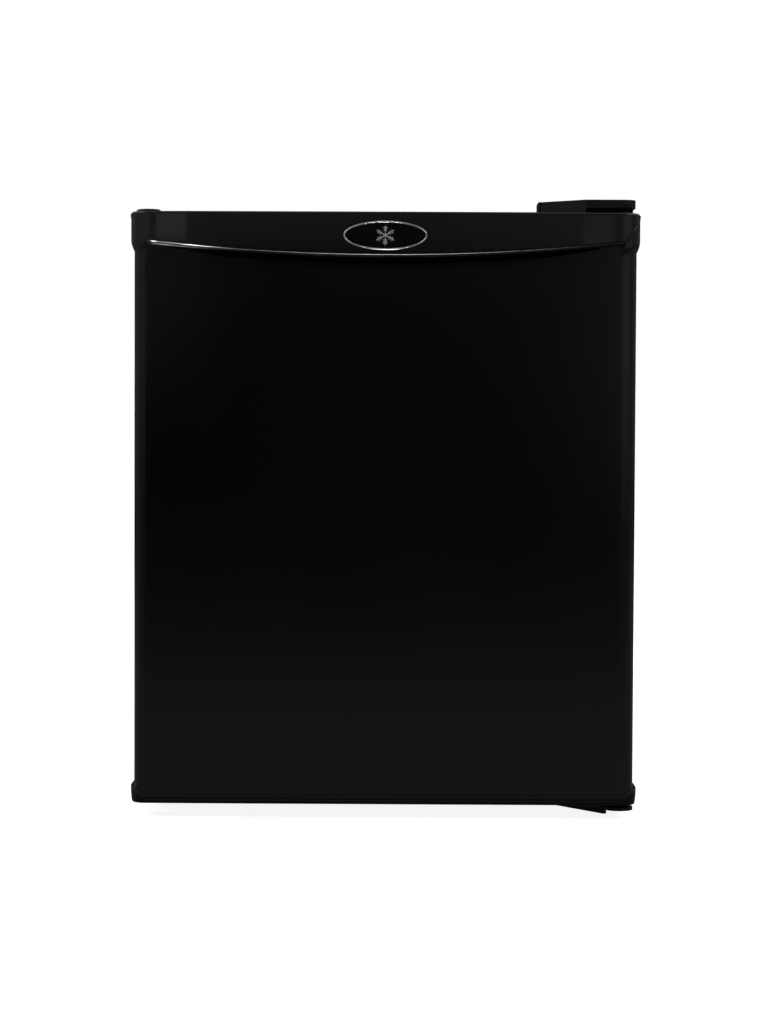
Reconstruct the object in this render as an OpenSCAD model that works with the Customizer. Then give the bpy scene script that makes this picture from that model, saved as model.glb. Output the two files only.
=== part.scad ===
// Compact refrigerator with one reversible door, an ice compartment and a rear-mounted condenser.
// Millimetres. X runs to the right seen from the front, Y runs to the back and Z runs up.
// The origin is at floor level, in the middle of the footprint.

/* [Overall] */
// Width over the end caps of the door
overall_w = 445; // [440:1:455]
// Height of the door with its end caps
door_h = 518; // [514:1:530]
// Gap between the door and the floor
door_lift = 13; // [13:0.5:15]
// Depth of the insulated cabinet box
cabinet_d = 365; // [362:1:380]

/* [Door] */
// Thickness of the foamed door
door_t = 38; // [36:1:40]
// Gap between the back of the door and the cabinet, filled by the seal
seal_gap = 11; // [10:0.5:12]
// How far the badge on the handle stands out from the face of the door
handle_out = 14; // [13:0.5:16]
// Radius of the upright edges of the door
edge_r = 12; // [8:1:14]
// How far the end caps stand out from the door skin
cap_proud = 3; // [2.5:0.5:3.5]

/* [Cabinet] */
// Insulation thickness at the sides
wall_side = 36; // [34:1:38]
// Insulation thickness at the top
wall_top = 38; // [36:1:40]
// Insulation thickness at the bottom
wall_bottom = 36; // [34:1:38]
// Insulation thickness at the back
wall_back = 38; // [36:1:40]
// Depth behind the cabinet taken by the condenser and the wall spacers
rear_d = 42; // [40:1:46]

/* [Machine] */
// Height of the compressor compartment
machine_h = 150; // [148:1:154]
// Depth of the compressor compartment
machine_d = 150; // [148:1:154]
// Radius of the compressor housing
compressor_r = 58; // [54:1:60]
// Number of condenser tube runs
condenser_runs = 9; // [5:2:9]

/* [Hidden] */
$fn = 48;
eps = 0.01;

// Sheet and wall thicknesses
sheet = 0.6;
liner_t = 1.5;
cap_t = 3;
fit_gap = 0.3;

// Main planes, front to back
overall_d = handle_out + door_t + seal_gap + cabinet_d + rear_d;
front_y = -overall_d / 2;
skin_y = front_y + handle_out;
door_back = skin_y + door_t;
cab_y0 = door_back + seal_gap;
cab_y1 = cab_y0 + cabinet_d;
rear_y = cab_y1 + rear_d;

// Main planes, bottom to top
door_z0 = door_lift;
door_z1 = door_z0 + door_h;
cab_z0 = door_z0 + 1;
cab_z1 = door_z1 - 1;

// Half widths
cap_hw = overall_w / 2;
skin_hw = cap_hw - cap_proud;
cab_hw = skin_hw;

// Hinge axis
pin_x = cap_hw - 14.5;
pin_y = skin_y + 22;
pin_r = 3.5;
pin_fit = 0.05;
bush_r = 6;
bush_flange_r = 5.5;
boss_r = 9;
plug_head_r = 11;
plug_head_h = 3.4;
pin_depth = 20;

// Door end caps: arcs are given by their lowest point and their rise towards the ends
cap_front = 1;
apron_drop = 49;
apron_rise = 15;
skin_tuck = 3.5;
lip_drop = 39.2;
lip_rise = 10.8;
lip_hw = 200;
lip_bow = 3;
lip_r = 17;
badge_out = 1.2;
badge_seat = 0.4;
lip_y = front_y + badge_out;
grip_hw = 185;
grip_back = skin_y + 9;
grip_top = door_z1 - 6;
grip_sill = 4;
grip_slope = 12;
foot_cap_front = 9;
foot_cap_side = 15;
badge_w = 73;
badge_h = 25.6;
badge_rim_w = 1.8;
badge_z = door_z1 - 20.8;

// Cabinet interior
in_hw = cab_hw - wall_side;
in_z0 = cab_z0 + wall_bottom;
in_z1 = cab_z1 - wall_top;
in_y1 = cab_y1 - wall_back;
flange_w = 18;
hump_wall = 32;
machine_y = cab_y1 - machine_d;
machine_z = cab_z0 + machine_h;
hump_y = machine_y - hump_wall;
hump_z = machine_z + hump_wall;
rib_out = 7;
rib_t = 6;
rib_y0 = cab_y0 + 84;
rib_y1 = in_y1 - 5;

// Door liner
liner_edge = 3.5;
dike_hw = in_hw - 7.5;
dike_w = 22;
dike_out = 24;
dike_z0 = in_z0 + 7;
dike_z1 = in_z1 - 7;
dike_in = dike_hw - dike_w;
dike_in_z0 = dike_z0 + 18;
dike_in_z1 = dike_z1 - 18;

// Seal
seal_y0 = door_back + liner_t;
seal_y1 = cab_y0 - fit_gap;
seal_out = pin_x - 3;
seal_w = 16;
seal_z0 = in_z0 - 22;
seal_z1 = in_z1 + 22;
seal_skin = 1.5;

// Door bins: each drops over an upright rib on the inside of the dike
bin_hw = dike_in - 1;
bin_t = 2;
bin_r = 18;
bin_y0 = door_back + 2;
bin_block = 8;
bin_rib_y = door_back + 11;
bin_rib_w = 4;
bin_rib_out = 5.5;
upper_bin_z = in_z0 + 212;
upper_bin_h = 50;
upper_bin_d = 68;
lower_bin_z = dike_in_z0 + 9;
lower_bin_h = 72;
lower_bin_d = 84;
bin_hook = 12;

// Evaporator box, ice flap, drip tray and control
evap_x0 = -in_hw + 7.5;
evap_x1 = evap_x0 + 294;
evap_y0 = cab_y0 + 118;
evap_y1 = in_y1 - 10;
evap_z1 = in_z1 - 8;
evap_z0 = evap_z1 - 100;
evap_t = 1.4;
frame_t = 4;
frame_y0 = evap_y0 - 14;
frame_y1 = evap_y0 + 4;
flap_t = 4;
flap_y = evap_y0 - 8;
flap_axis_z = evap_z1 - 6;
flap_pin_r = 2;
tray_rib_z = evap_z0 - 14;
tray_h = 20;
tray_y0 = evap_y0 - 2;
tray_y1 = evap_y1 - 4;
control_x0 = evap_x1 + 6;
control_y0 = frame_y0 + 12;
control_y1 = control_y0 + 84;
control_z0 = evap_z0 + 4;
control_z1 = in_z1 - 6;
control_t = 2;
knob_x = (control_x0 + in_hw) / 2;
knob_z = (control_z0 + control_z1) / 2;
knob_r = 20;
knob_h = 14;
shaft_r = 3;

// Wire shelf
shelf_rib_z = hump_z + 10;
shelf_hw = in_hw - 2.5;
shelf_y0 = cab_y0 + 86;
shelf_y1 = in_y1 - 6;
shelf_rod_r = 2.5;
shelf_wire_r = 1.5;
shelf_wires = 17;

// Compressor and its piping
comp_x = 70;
comp_y = machine_y + 75;
comp_z0 = cab_z0 + 20;
comp_h = 110;
crossbar_t = 2;
stud_dx = 62;
stud_dy = 42;
grommet_h = 11;
tube_r = 2.5;
suction_r = 3.5;
capillary_r = 1;
drier_x = -150;
drier_y = machine_y + 107;
drier_r = 9;
drier_z0 = cab_z0 + 56;
drier_h = 60;

// Condenser
cond_y = cab_y1 + 26;
cond_pitch = 36;
cond_hw = 160;
cond_z1 = cab_z1 - 30;
cond_bend = cond_pitch / 2;
wire_r = 0.8;
wire_count = 13;
wire_step = 25;
wire_off = tube_r + wire_r + 0.05;
spacer_r = 7;

// Feet
foot_x = cab_hw - 39;
foot_y = cab_y0 + 62;
foot_r = 15;
foot_pad_h = 6;
foot_collar_r = 9;
stud_r = 4;
stud_h = 33;

// A block given by its corners
module block(x0, x1, y0, y1, z0, z1) {
    translate([x0, y0, z0]) cube([x1 - x0, y1 - y0, z1 - z0]);
}

// Extrudes an XZ outline from y0 to y1
module slab_xz(y0, y1) {
    translate([0, y1, 0]) rotate([90, 0, 0]) linear_extrude(y1 - y0) children();
}

// Extrudes a YZ outline from x0 to x1
module slab_yz(x0, x1) {
    translate([x0, 0, 0]) rotate([90, 0, 90]) linear_extrude(x1 - x0) children();
}

// A rectangle with four round corners
module rounded(x0, x1, y0, y1, r) {
    translate([x0 + r, y0]) square([x1 - x0 - 2 * r, y1 - y0]);
    translate([x0, y0 + r]) square([x1 - x0, y1 - y0 - 2 * r]);
    for (x = [x0 + r, x1 - r], y = [y0 + r, y1 - r]) translate([x, y]) circle(r);
}

// A rectangular frame outline
module frame_2d(x0, x1, y0, y1, w) {
    difference() {
        translate([x0, y0]) square([x1 - x0, y1 - y0]);
        translate([x0 + w, y0 + w]) square([x1 - x0 - 2 * w, y1 - y0 - 2 * w]);
    }
}

// Everything above an arc that sags to z in the middle and rises by rise at half width hw.
// With a slope, the arc climbs by that much from y0 to y1.
module above_arc(z, rise, hw, y0, y1, slope = 0) {
    r = (hw * hw + rise * rise) / (2 * rise);
    translate([0, y1, z + r]) rotate([90, 0, 0])
        cylinder(r1 = r - slope, r2 = r, h = y1 - y0, $fn = 256);
}

// Plan outline of the door, grown outwards at the sides and the front, with round front corners
module door_plan(side, front) {
    r = edge_r + front;
    hw = skin_hw + side;
    y0 = skin_y - front;
    translate([-hw + r, y0]) square([2 * (hw - r), door_back - y0]);
    translate([-hw, y0 + r]) square([2 * hw, door_back - y0 - r]);
    for (s = [-1, 1]) translate([s * (hw - r), y0 + r]) circle(r);
}

function unit(v) = v / norm(v);

// Rounds the inner corners of a route with short curves of size r
function rounded_route(p, r, n = 5) = [
    p[0],
    for (i = [1 : len(p) - 2])
        let (a = p[i] + unit(p[i - 1] - p[i]) * r, b = p[i] + unit(p[i + 1] - p[i]) * r)
        for (k = [0 : n])
            let (t = k / n)
            (1 - t) * (1 - t) * a + 2 * t * (1 - t) * p[i] + t * t * b,
    p[len(p) - 1]
];

function tangent_at(p, i) =
    unit(p[min(i + 1, len(p) - 1)] - p[max(i - 1, 0)]);

// Carries a side vector along the route without twist
function side_vectors(p, i, last) =
    i >= len(p) ? [] :
    let (t = tangent_at(p, i), s = unit(last - (last * t) * t))
    concat([s], side_vectors(p, i + 1, s));

// A round tube that follows a route
module tube(route, r, side, sides = 8) {
    s = side_vectors(route, 0, side);
    points = [
        for (i = [0 : len(route) - 1])
            let (t = tangent_at(route, i), u = s[i], v = cross(t, u))
            for (k = [0 : sides - 1])
                route[i] + r * (cos(360 * k / sides) * u + sin(360 * k / sides) * v)
    ];
    last = (len(route) - 1) * sides;
    faces = [
        [for (k = [0 : sides - 1]) k],
        for (i = [0 : len(route) - 2], k = [0 : sides - 1])
            [i * sides + k, (i + 1) * sides + k,
             (i + 1) * sides + (k + 1) % sides, i * sides + (k + 1) % sides],
        [for (k = [sides - 1 : -1 : 0]) last + k]
    ];
    polyhedron(points, faces, convexity = 10);
}

// ---------- Door ----------

// Steel front panel with rounded upright edges and short returns at the back
module door_skin() {
    color("#151515") difference() {
        translate([0, 0, door_z0 + cap_t]) linear_extrude(door_h - 2 * cap_t) difference() {
            door_plan(0, 0);
            difference() {
                door_plan(-sheet, -sheet);
                translate([-skin_hw, door_back - sheet]) square([2 * skin_hw, sheet + 1]);
            }
            translate([-skin_hw + 14, door_back - 2]) square([2 * skin_hw - 28, 3]);
        }
        above_skin();
    }
}

// Everything above the arched top edge of the door skin, which is tucked into the cap
module above_skin() {
    above_arc(door_z1 - apron_drop + skin_tuck, apron_rise, cap_hw, skin_y - 1, door_back + 1);
}

// How far back the bowed front of the lip lies at x
function lip_front(x) =
    let (xe = cap_hw - lip_r, r = (xe * xe + lip_bow * lip_bow) / (2 * lip_bow))
    lip_y + r - sqrt(r * r - x * x);

// Finger pocket behind the handle lip; its sill slopes in and follows the cap's lower edge
module finger_pocket() {
    intersection() {
        translate([0, 0, door_z1 - 60]) linear_extrude(grip_top - door_z1 + 60) polygon(concat(
            [for (k = [-8 : 8]) [k * grip_hw / 8, lip_front(k * grip_hw / 8) + cap_t]],
            [[grip_hw, grip_back], [-grip_hw, grip_back]]
        ));
        union() {
            above_arc(door_z1 - apron_drop + grip_sill, apron_rise, cap_hw,
                      skin_y - cap_front, grip_back, grip_slope);
            translate([-grip_hw, lip_y, door_z1 - 60])
                cube([2 * grip_hw, skin_y - cap_front - lip_y + eps, 60]);
        }
    }
}

// Space that the cap keeps for the wall behind and below the finger pocket
module pocket_wall() {
    slab_yz(-grip_hw - cap_t, grip_hw + cap_t) polygon([
        [front_y, door_z1 + 1], [grip_back + cap_t, door_z1 + 1],
        [grip_back + cap_t, door_z1 - lip_drop], [skin_y + cap_t, door_z1 - apron_drop],
        [front_y, door_z1 - apron_drop]
    ]);
}

// Plan of the handle lip: a gently bowed front whose round ends run into the flanks
function lip_outline() =
    let (xe = cap_hw - lip_r, ye = lip_front(xe) + lip_r)
    concat(
        [for (a = [90 : -9 : 0]) [-xe - lip_r * sin(a), ye - lip_r * cos(a)]],
        [for (k = [-9 : 9]) [k * xe / 10, lip_front(k * xe / 10)]],
        [for (a = [0 : 9 : 90]) [xe + lip_r * sin(a), ye - lip_r * cos(a)]],
        [[cap_hw, skin_y + 20], [-cap_hw, skin_y + 20]]
    );

// Moulded end cap at the top of the door: handle lip, finger pocket and hinge bosses
module door_top_cap() {
    color("#1b1b1b") difference() {
        union() {
            intersection() {
                translate([0, 0, door_z1 - 70]) linear_extrude(70) door_plan(cap_proud, cap_front);
                above_arc(door_z1 - apron_drop, apron_rise, cap_hw, skin_y - 10, door_back + 1);
            }
            intersection() {
                translate([0, 0, door_z1 - 60]) linear_extrude(60) polygon(lip_outline());
                above_arc(door_z1 - lip_drop, lip_rise, lip_hw, front_y - 1, skin_y + 30);
            }
        }
        door_core();
        door_skin();
        finger_pocket();
        for (s = [-1, 1]) translate([s * pin_x, pin_y, door_z1 - pin_depth - 4])
            cylinder(r = bush_r, h = pin_depth + 5);
        slab_xz(front_y - 1, lip_y + badge_seat) translate([0, badge_z]) badge_2d(-fit_gap / 3);
    }
}

// What fills the inside of the top cap, clear of the pocket wall and the bosses
module door_core() {
    difference() {
        translate([0, 0, door_z1 - 80]) linear_extrude(80 - cap_t) door_plan(0, 0);
        pocket_wall();
        for (s = [-1, 1]) translate([s * pin_x, pin_y, door_z1 - pin_depth - 4 - cap_t])
            cylinder(r = boss_r, h = pin_depth + 8);
    }
}

// Moulded end cap at the bottom of the door
module door_bottom_cap() {
    color("#1b1b1b") difference() {
        union() {
            translate([0, 0, door_z0]) linear_extrude(foot_cap_front) door_plan(cap_proud, cap_front);
            intersection() {
                translate([0, 0, door_z0]) linear_extrude(foot_cap_side) door_plan(cap_proud, cap_front);
                for (s = [-1, 1]) translate([s * cap_hw - 12, skin_y + 3, 0]) cube([24, 60, 60]);
            }
            for (s = [-1, 1]) translate([s * pin_x, pin_y, door_z0])
                cylinder(r = boss_r, h = pin_depth + 4);
        }
        difference() {
            translate([0, 0, door_z0 + cap_t]) linear_extrude(60) door_plan(0, 0);
            for (s = [-1, 1]) translate([s * pin_x, pin_y, 0]) cylinder(r = boss_r, h = 80);
        }
        for (s = [-1, 1]) translate([s * pin_x, pin_y, door_z0 - 1])
            cylinder(r = bush_r, h = pin_depth + 2);
    }
}

// Dike of the door liner as a hollow frame; inset makes its foam filling
module dike(inset, y1) {
    slab_xz(door_back - eps, y1) difference() {
        rounded(-dike_hw + inset, dike_hw - inset, dike_z0 + inset, dike_z1 - inset, 14 - inset);
        rounded(-dike_in - inset, dike_in + inset, dike_in_z0 - inset, dike_in_z1 + inset, 8);
    }
}

// Polyurethane core of the door
module door_foam() {
    color("#e6d9a8") difference() {
        union() {
            translate([0, 0, door_z0 + cap_t]) linear_extrude(door_h - 80 - cap_t + eps)
                foam_plan();
            intersection() {
                door_core();
                union() {
                    translate([0, 0, door_z1 - 90]) linear_extrude(90) foam_plan();
                    above_skin();
                }
            }
            dike(liner_t, door_back + dike_out - liner_t);
        }
        for (s = [-1, 1]) translate([s * pin_x, pin_y, 0])
            cylinder(r = boss_r, h = door_z0 + pin_depth + 4 + eps);
    }
}

// Plan of the foam inside the door skin
module foam_plan() {
    intersection() {
        door_plan(-sheet, -sheet);
        translate([-skin_hw, skin_y]) square([2 * skin_hw, door_t - sheet]);
    }
    translate([-skin_hw + 14, door_back - 2]) square([2 * skin_hw - 28, 2]);
}

// Upright ribs on the dike that the bins drop over
module bin_ribs(z, h) {
    for (s = [-1, 1]) translate([s * (dike_in - (bin_rib_out - eps) / 2), bin_rib_y + 2, z + h / 2])
        cube([bin_rib_out + eps, bin_rib_w, h], center = true);
}

// Vacuum-formed inner face of the door
module door_liner() {
    color("white") {
        difference() {
            union() {
                slab_xz(door_back, door_back + liner_t)
                    rounded(-skin_hw + liner_edge, skin_hw - liner_edge,
                            door_z0 + liner_edge, door_z1 - liner_edge, 6);
                dike(0, door_back + dike_out);
            }
            dike(liner_t, door_back + dike_out - liner_t);
            block(-300, 300, door_back - 5, door_back, 0, 700);
        }
        bin_ribs(upper_bin_z + 3, upper_bin_h - bin_hook - 3.3);
        bin_ribs(lower_bin_z + 3, lower_bin_h - bin_hook - 3.3);
    }
}

// Cross-section frame of the seal between two insets
module seal_ring(y0, y1, inset, w) {
    slab_xz(y0, y1)
        frame_2d(-seal_out + inset, seal_out - inset, seal_z0 + inset, seal_z1 - inset, w);
}

// Flexible seal, open towards the inside of its frame where the magnets sit
module door_gasket() {
    color("#2b2b2b") difference() {
        seal_ring(seal_y0, seal_y1, 0, seal_w);
        seal_ring(seal_y0 + 3, seal_y1 - 1.2, seal_skin, seal_w + 2);
    }
}

// Four magnetic strips that lie against the front wall of the seal
module gasket_magnets() {
    y1 = seal_y1 - 1.2;
    y0 = y1 - 3;
    a = seal_skin + 1;
    w = 9;
    color("#4a3b35") {
        for (s = [-1, 1]) {
            x = s * (seal_out - a - w / 2);
            block(x - w / 2, x + w / 2, y0, y1, seal_z0 + a + w + 1, seal_z1 - a - w - 1);
        }
        for (z = [seal_z0 + a, seal_z1 - a - w])
            block(-seal_out + a, seal_out - a, y0, y1, z, z + w);
    }
}

// A door bin: open tray with hooks at both ends
module door_bin(z, h, d) {
    color("#f4f6f8", 0.9) difference() {
        translate([0, 0, z]) linear_extrude(h) bin_plan(d, 0);
        difference() {
            translate([0, 0, z + bin_t]) linear_extrude(h) bin_plan(d, bin_t);
            for (s = [-1, 1]) translate([s * (bin_hw - bin_block / 2), bin_rib_y + 2, z + h / 2])
                cube([bin_block, 10, h + 4], center = true);
        }
        for (s = [-1, 1])
            translate([s * (bin_hw - bin_rib_out / 2 + 1), bin_rib_y + 2, z + (h - bin_hook) / 2])
            cube([bin_rib_out + 2.2, bin_rib_w + 0.6, h - bin_hook + eps], center = true);
    }
}

// Plan of a bin with round front corners, smaller by inset
module bin_plan(d, inset) {
    r = bin_r - inset;
    hw = bin_hw - inset;
    y0 = bin_y0 + inset;
    y1 = bin_y0 + d - inset;
    translate([-hw, y0]) square([2 * hw, y1 - r - y0]);
    translate([-hw + r, y0]) square([2 * (hw - r), y1 - y0]);
    for (s = [-1, 1]) translate([s * (hw - r), y1 - r]) circle(r);
}

module upper_door_bin() {
    door_bin(upper_bin_z, upper_bin_h, upper_bin_d);
}

module lower_door_bin() {
    door_bin(lower_bin_z, lower_bin_h, lower_bin_d);
}

// Nylon bush that the upper hinge pin turns in
module upper_hinge_bush() {
    color("#1a1a1a") translate([pin_x, pin_y, 0]) difference() {
        union() {
            translate([0, 0, door_z1 - pin_depth - 4]) cylinder(r = bush_r - eps, h = pin_depth + 4);
            translate([0, 0, door_z1]) cylinder(r = bush_flange_r, h = 3.5);
        }
        translate([0, 0, door_z1 - pin_depth]) cylinder(r = pin_r + pin_fit, h = pin_depth + 5);
    }
}

// Nylon bush that the lower hinge pin turns in; its flange spaces the door off the arm
module lower_hinge_bush() {
    color("#1a1a1a") translate([pin_x, pin_y, 0]) difference() {
        union() {
            translate([0, 0, door_z0]) cylinder(r = bush_r - eps, h = pin_depth + 1);
            translate([0, 0, door_z0 - 2.5]) cylinder(r = boss_r, h = 2.5);
        }
        translate([0, 0, door_z0 - 3]) cylinder(r = pin_r + pin_fit, h = pin_depth);
    }
}

// Stem of a hole plug below its head, which is a low dome of radius r and height h
module hole_plug(r, h) {
    translate([0, 0, -12]) cylinder(r = bush_r - eps, h = 12 + eps);
    cylinder(r1 = r, r2 = r - 0.5, h = h / 2);
    translate([0, 0, h / 2 - eps]) cylinder(r1 = r - 0.5, r2 = r - 3.5, h = h / 2);
}

// Plugs in the unused hinge holes on the other side of the door; the lower one is flat
module door_hole_plugs() {
    color("#141414") {
        translate([-pin_x, pin_y, door_z1]) hole_plug(plug_head_r, plug_head_h);
        translate([-pin_x, pin_y, door_z0]) mirror([0, 0, 1]) hole_plug(boss_r, 1);
    }
}

// Badge outline: a plain oval
module badge_2d(inset) {
    polygon([
        for (a = [0 : 6 : 354])
            [(badge_w / 2 - inset) * cos(a), (badge_h / 2 - inset) * sin(a)]
    ]);
}

module badge_rim() {
    color("silver") slab_xz(front_y, lip_y + badge_seat) translate([0, badge_z])
        difference() {
            badge_2d(0);
            badge_2d(badge_rim_w);
        }
}

module badge_face() {
    color("#101010") slab_xz(front_y + 0.4, lip_y + badge_seat) translate([0, badge_z])
        badge_2d(badge_rim_w + eps);
}

// ---------- Cabinet ----------

hinge_screw_x = [pin_x - 52, pin_x - 30, pin_x - 8];
hinge_screw_y = cab_y0 + 22;
screw_r = 2;

// Holes for the hinge screws at the top, on both sides because the door is reversible
module top_screw_holes(depth) {
    for (s = [-1, 1], x = hinge_screw_x)
        translate([s * x, hinge_screw_y, cab_z1 - depth]) cylinder(r = screw_r, h = depth + 1);
}

// Holes for the lower hinge screws and the foot studs
module bottom_holes(height, foot_clear) {
    for (x = hinge_screw_x)
        translate([x, hinge_screw_y, cab_z0 - 1]) cylinder(r = screw_r, h = height + 1);
    for (s = [-1, 1])
        translate([s * foot_x, foot_y, cab_z0 - 1]) cylinder(r = stud_r + foot_clear, h = 30);
}

// Folded steel top and sides of the cabinet, with a flange that the seal closes on
module cabinet_wrapper() {
    color("#161616") difference() {
        union() {
            slab_xz(cab_y0, cab_y1) difference() {
                translate([-cab_hw, cab_z0]) square([2 * cab_hw, cab_z1 - cab_z0]);
                translate([-cab_hw + sheet, cab_z0 - 1])
                    square([2 * (cab_hw - sheet), cab_z1 - sheet - cab_z0 + 1]);
            }
            slab_xz(cab_y0, cab_y0 + sheet) difference() {
                translate([-cab_hw, cab_z0]) square([2 * cab_hw, cab_z1 - cab_z0]);
                translate([-cab_hw + flange_w, cab_z0 - 1])
                    square([2 * (cab_hw - flange_w), cab_z1 - flange_w - cab_z0 + 1]);
            }
        }
        top_screw_holes(5);
    }
}

// Steel bottom of the cabinet with its front flange
module base_panel() {
    w = cab_hw - sheet;
    color("#202020") difference() {
        union() {
            block(-w, w, cab_y0 + sheet, machine_y - sheet, cab_z0, cab_z0 + sheet);
            block(-cab_hw + flange_w, cab_hw - flange_w, cab_y0, cab_y0 + sheet,
                  cab_z0, cab_z0 + flange_w);
        }
        bottom_holes(10, pin_fit);
    }
}

// Steel back of the cabinet above the compressor compartment
module rear_panel() {
    color("#2a2a2a") difference() {
        block(-cab_hw, cab_hw, cab_y1, cab_y1 + sheet, machine_z, cab_z1);
        standoff_holes();
    }
}

// Sheet that lines the compressor compartment: front wall and ceiling
module compartment_panel() {
    w = cab_hw - sheet;
    color("#9a9a9a") difference() {
        union() {
            block(-w, w, machine_y - sheet, machine_y, cab_z0, machine_z + sheet);
            block(-w, w, machine_y - eps, cab_y1, machine_z, machine_z + sheet);
        }
        for (p = [capillary_in, suction_in])
            translate([p[0], p[1], machine_z - 1]) cylinder(r = p[2] + 0.5, h = 4);
    }
}

// Side view of the space inside the liner, grown by g
module cavity_profile(g) {
    polygon([
        [cab_y0 - (g > 0 ? 0 : 1), in_z0 - g], [hump_y + g, in_z0 - g], [hump_y + g, hump_z - g],
        [in_y1 + g, hump_z - g], [in_y1 + g, in_z1 + g], [cab_y0 - (g > 0 ? 0 : 1), in_z1 + g]
    ]);
}

// Shelf ribs on both side walls at height z
module side_ribs(z, y0) {
    for (s = [-1, 1]) translate([s * (in_hw - rib_out / 2), (y0 + rib_y1) / 2, z - rib_t / 2])
        cube([rib_out + eps, rib_y1 - y0, rib_t], center = true);
}

// Vacuum-formed inside of the cabinet with its moulded shelf ribs
module cabinet_liner() {
    color("white") {
        difference() {
            union() {
                slab_yz(-in_hw - liner_t, in_hw + liner_t) cavity_profile(liner_t);
                slab_xz(cab_y0, cab_y0 + liner_t) difference() {
                    translate([-cab_hw + flange_w, cab_z0 + flange_w])
                        square([2 * (cab_hw - flange_w), cab_z1 - cab_z0 - 2 * flange_w]);
                    translate([-in_hw, in_z0]) square([2 * in_hw, in_z1 - in_z0]);
                }
            }
            slab_yz(-in_hw, in_hw) cavity_profile(0);
        }
        side_ribs(shelf_rib_z, rib_y0);
        side_ribs(shelf_rib_z + 78, rib_y0);
        side_ribs(tray_rib_z, tray_y0 - 6);
    }
}

// Foam between the liner and the steel, which carries the screws and the foot studs
module cabinet_foam() {
    w = cab_hw - sheet;
    color("#e6d9a8") difference() {
        block(-w, w, cab_y0 + liner_t, cab_y1, cab_z0 + sheet, cab_z1 - sheet);
        slab_yz(-in_hw - liner_t, in_hw + liner_t) cavity_profile(liner_t);
        block(-w - 1, w + 1, machine_y - sheet, cab_y1 + 1, cab_z0 - 1, machine_z + sheet);
        top_screw_holes(20);
        bottom_holes(12, pin_fit);
        standoff_holes();
    }
}

// Plugs in the unused hinge screw holes at the top left
module cabinet_hole_plugs() {
    color("#141414") for (x = hinge_screw_x) translate([-x, hinge_screw_y, 0]) {
        translate([0, 0, cab_z1 - 4]) cylinder(r = screw_r - eps, h = 4 + eps);
        translate([0, 0, cab_z1]) cylinder(r1 = 4.5, r2 = 3.2, h = 1.2);
    }
}

// ---------- Hinges ----------

arm_t = 2.5;
plate_back = cab_y0 + 36;
arm_left = pin_x - 18;
plate_left = pin_x - 62;
arm_top_z = cab_z1 + 7;
lower_arm_z = door_z0 - 6;
lower_plate_z = cab_z0 - 3;

// Steel plate on the cabinet that steps up over the door and carries the pin
module upper_hinge_bracket() {
    color("#3c3c3c") difference() {
        union() {
            block(plate_left, pin_x + 6, cab_y0 + 3, plate_back - 4, cab_z1, cab_z1 + arm_t);
            block(arm_left, pin_x + 6, cab_y0 + 3, cab_y0 + 3 + arm_t,
                  cab_z1, arm_top_z + arm_t);
            block(arm_left, pin_x + 6, pin_y, cab_y0 + 4, arm_top_z, arm_top_z + arm_t);
            translate([pin_x, pin_y, arm_top_z]) cylinder(r = 6, h = arm_t);
        }
        for (x = hinge_screw_x)
            translate([x, hinge_screw_y, cab_z1 - 1]) cylinder(r = screw_r + 0.3, h = 5);
        translate([pin_x, pin_y, arm_top_z - 1]) cylinder(r = pin_r, h = 5);
    }
}

module upper_hinge_pin() {
    color("#3c3c3c") translate([pin_x, pin_y, 0]) {
        translate([0, 0, door_z1 - pin_depth + 1]) cylinder(r = pin_r, h = arm_top_z + arm_t
            - (door_z1 - pin_depth + 1));
        translate([0, 0, door_z1 + 3.8]) cylinder(r = 4.6, h = arm_top_z - door_z1 - 3.8);
    }
}

cover_top = cab_z1 + 13.5;
cover_arm_z = door_z1 + 5;
cover_skirt_z = door_z1 + 0.8;
cover_r = 11;
cover_left = pin_x - 73;
cover_corner = pin_x - 33;
cover_right = pin_x + cover_r;

// Plan of the hinge cover over the door, smaller by inset: a diagonal and a round end on the pin
module cover_arm_plan(inset) {
    r = cover_r - inset;
    polygon([
        [cover_left + inset * 1.5, cab_y0 + 1], [cover_corner + inset * 0.5, pin_y - r],
        [pin_x, pin_y - r], [pin_x, pin_y], [pin_x + r, pin_y], [pin_x + r, cab_y0 + 1]
    ]);
    translate([pin_x, pin_y]) circle(r);
}

// Plan of the cover's skirt, which hangs down almost to the door left of the arm
module cover_skirt_plan(inset) {
    intersection() {
        cover_arm_plan(inset);
        translate([cover_left - 1, pin_y - 30])
            square([cover_corner - inset - cover_left + 1, 60]);
    }
}

// Plastic cover that clips over the upper hinge
module upper_hinge_cover() {
    wall = 1.8;
    y0 = cab_y0 - 1.5;
    color("#1d1d1d") difference() {
        union() {
            block(cover_left, cover_right, y0, plate_back, cab_z1, cover_top);
            translate([0, 0, cover_arm_z]) linear_extrude(cover_top - cover_arm_z)
                cover_arm_plan(0);
            translate([0, 0, cover_skirt_z]) linear_extrude(cover_top - cover_skirt_z - 1)
                cover_skirt_plan(0);
        }
        translate([0, 0, cover_skirt_z - 1]) linear_extrude(cover_top - wall - cover_skirt_z + 1)
            cover_skirt_plan(wall);
        block(cover_left + wall, cover_right - wall, y0 + wall, plate_back - wall,
              cab_z1 - 1, cover_top - wall);
        translate([0, 0, cover_arm_z - 1]) linear_extrude(cover_top - wall - cover_arm_z + 1)
            cover_arm_plan(wall);
    }
}

module upper_hinge_screws() {
    color("silver") for (x = hinge_screw_x) translate([x, hinge_screw_y, 0]) {
        translate([0, 0, cab_z1 - 4.5]) cylinder(r = screw_r - eps, h = 4.5 + arm_t + eps);
        translate([0, 0, cab_z1 + arm_t]) cylinder(r = 4, h = 2.4);
    }
}

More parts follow.
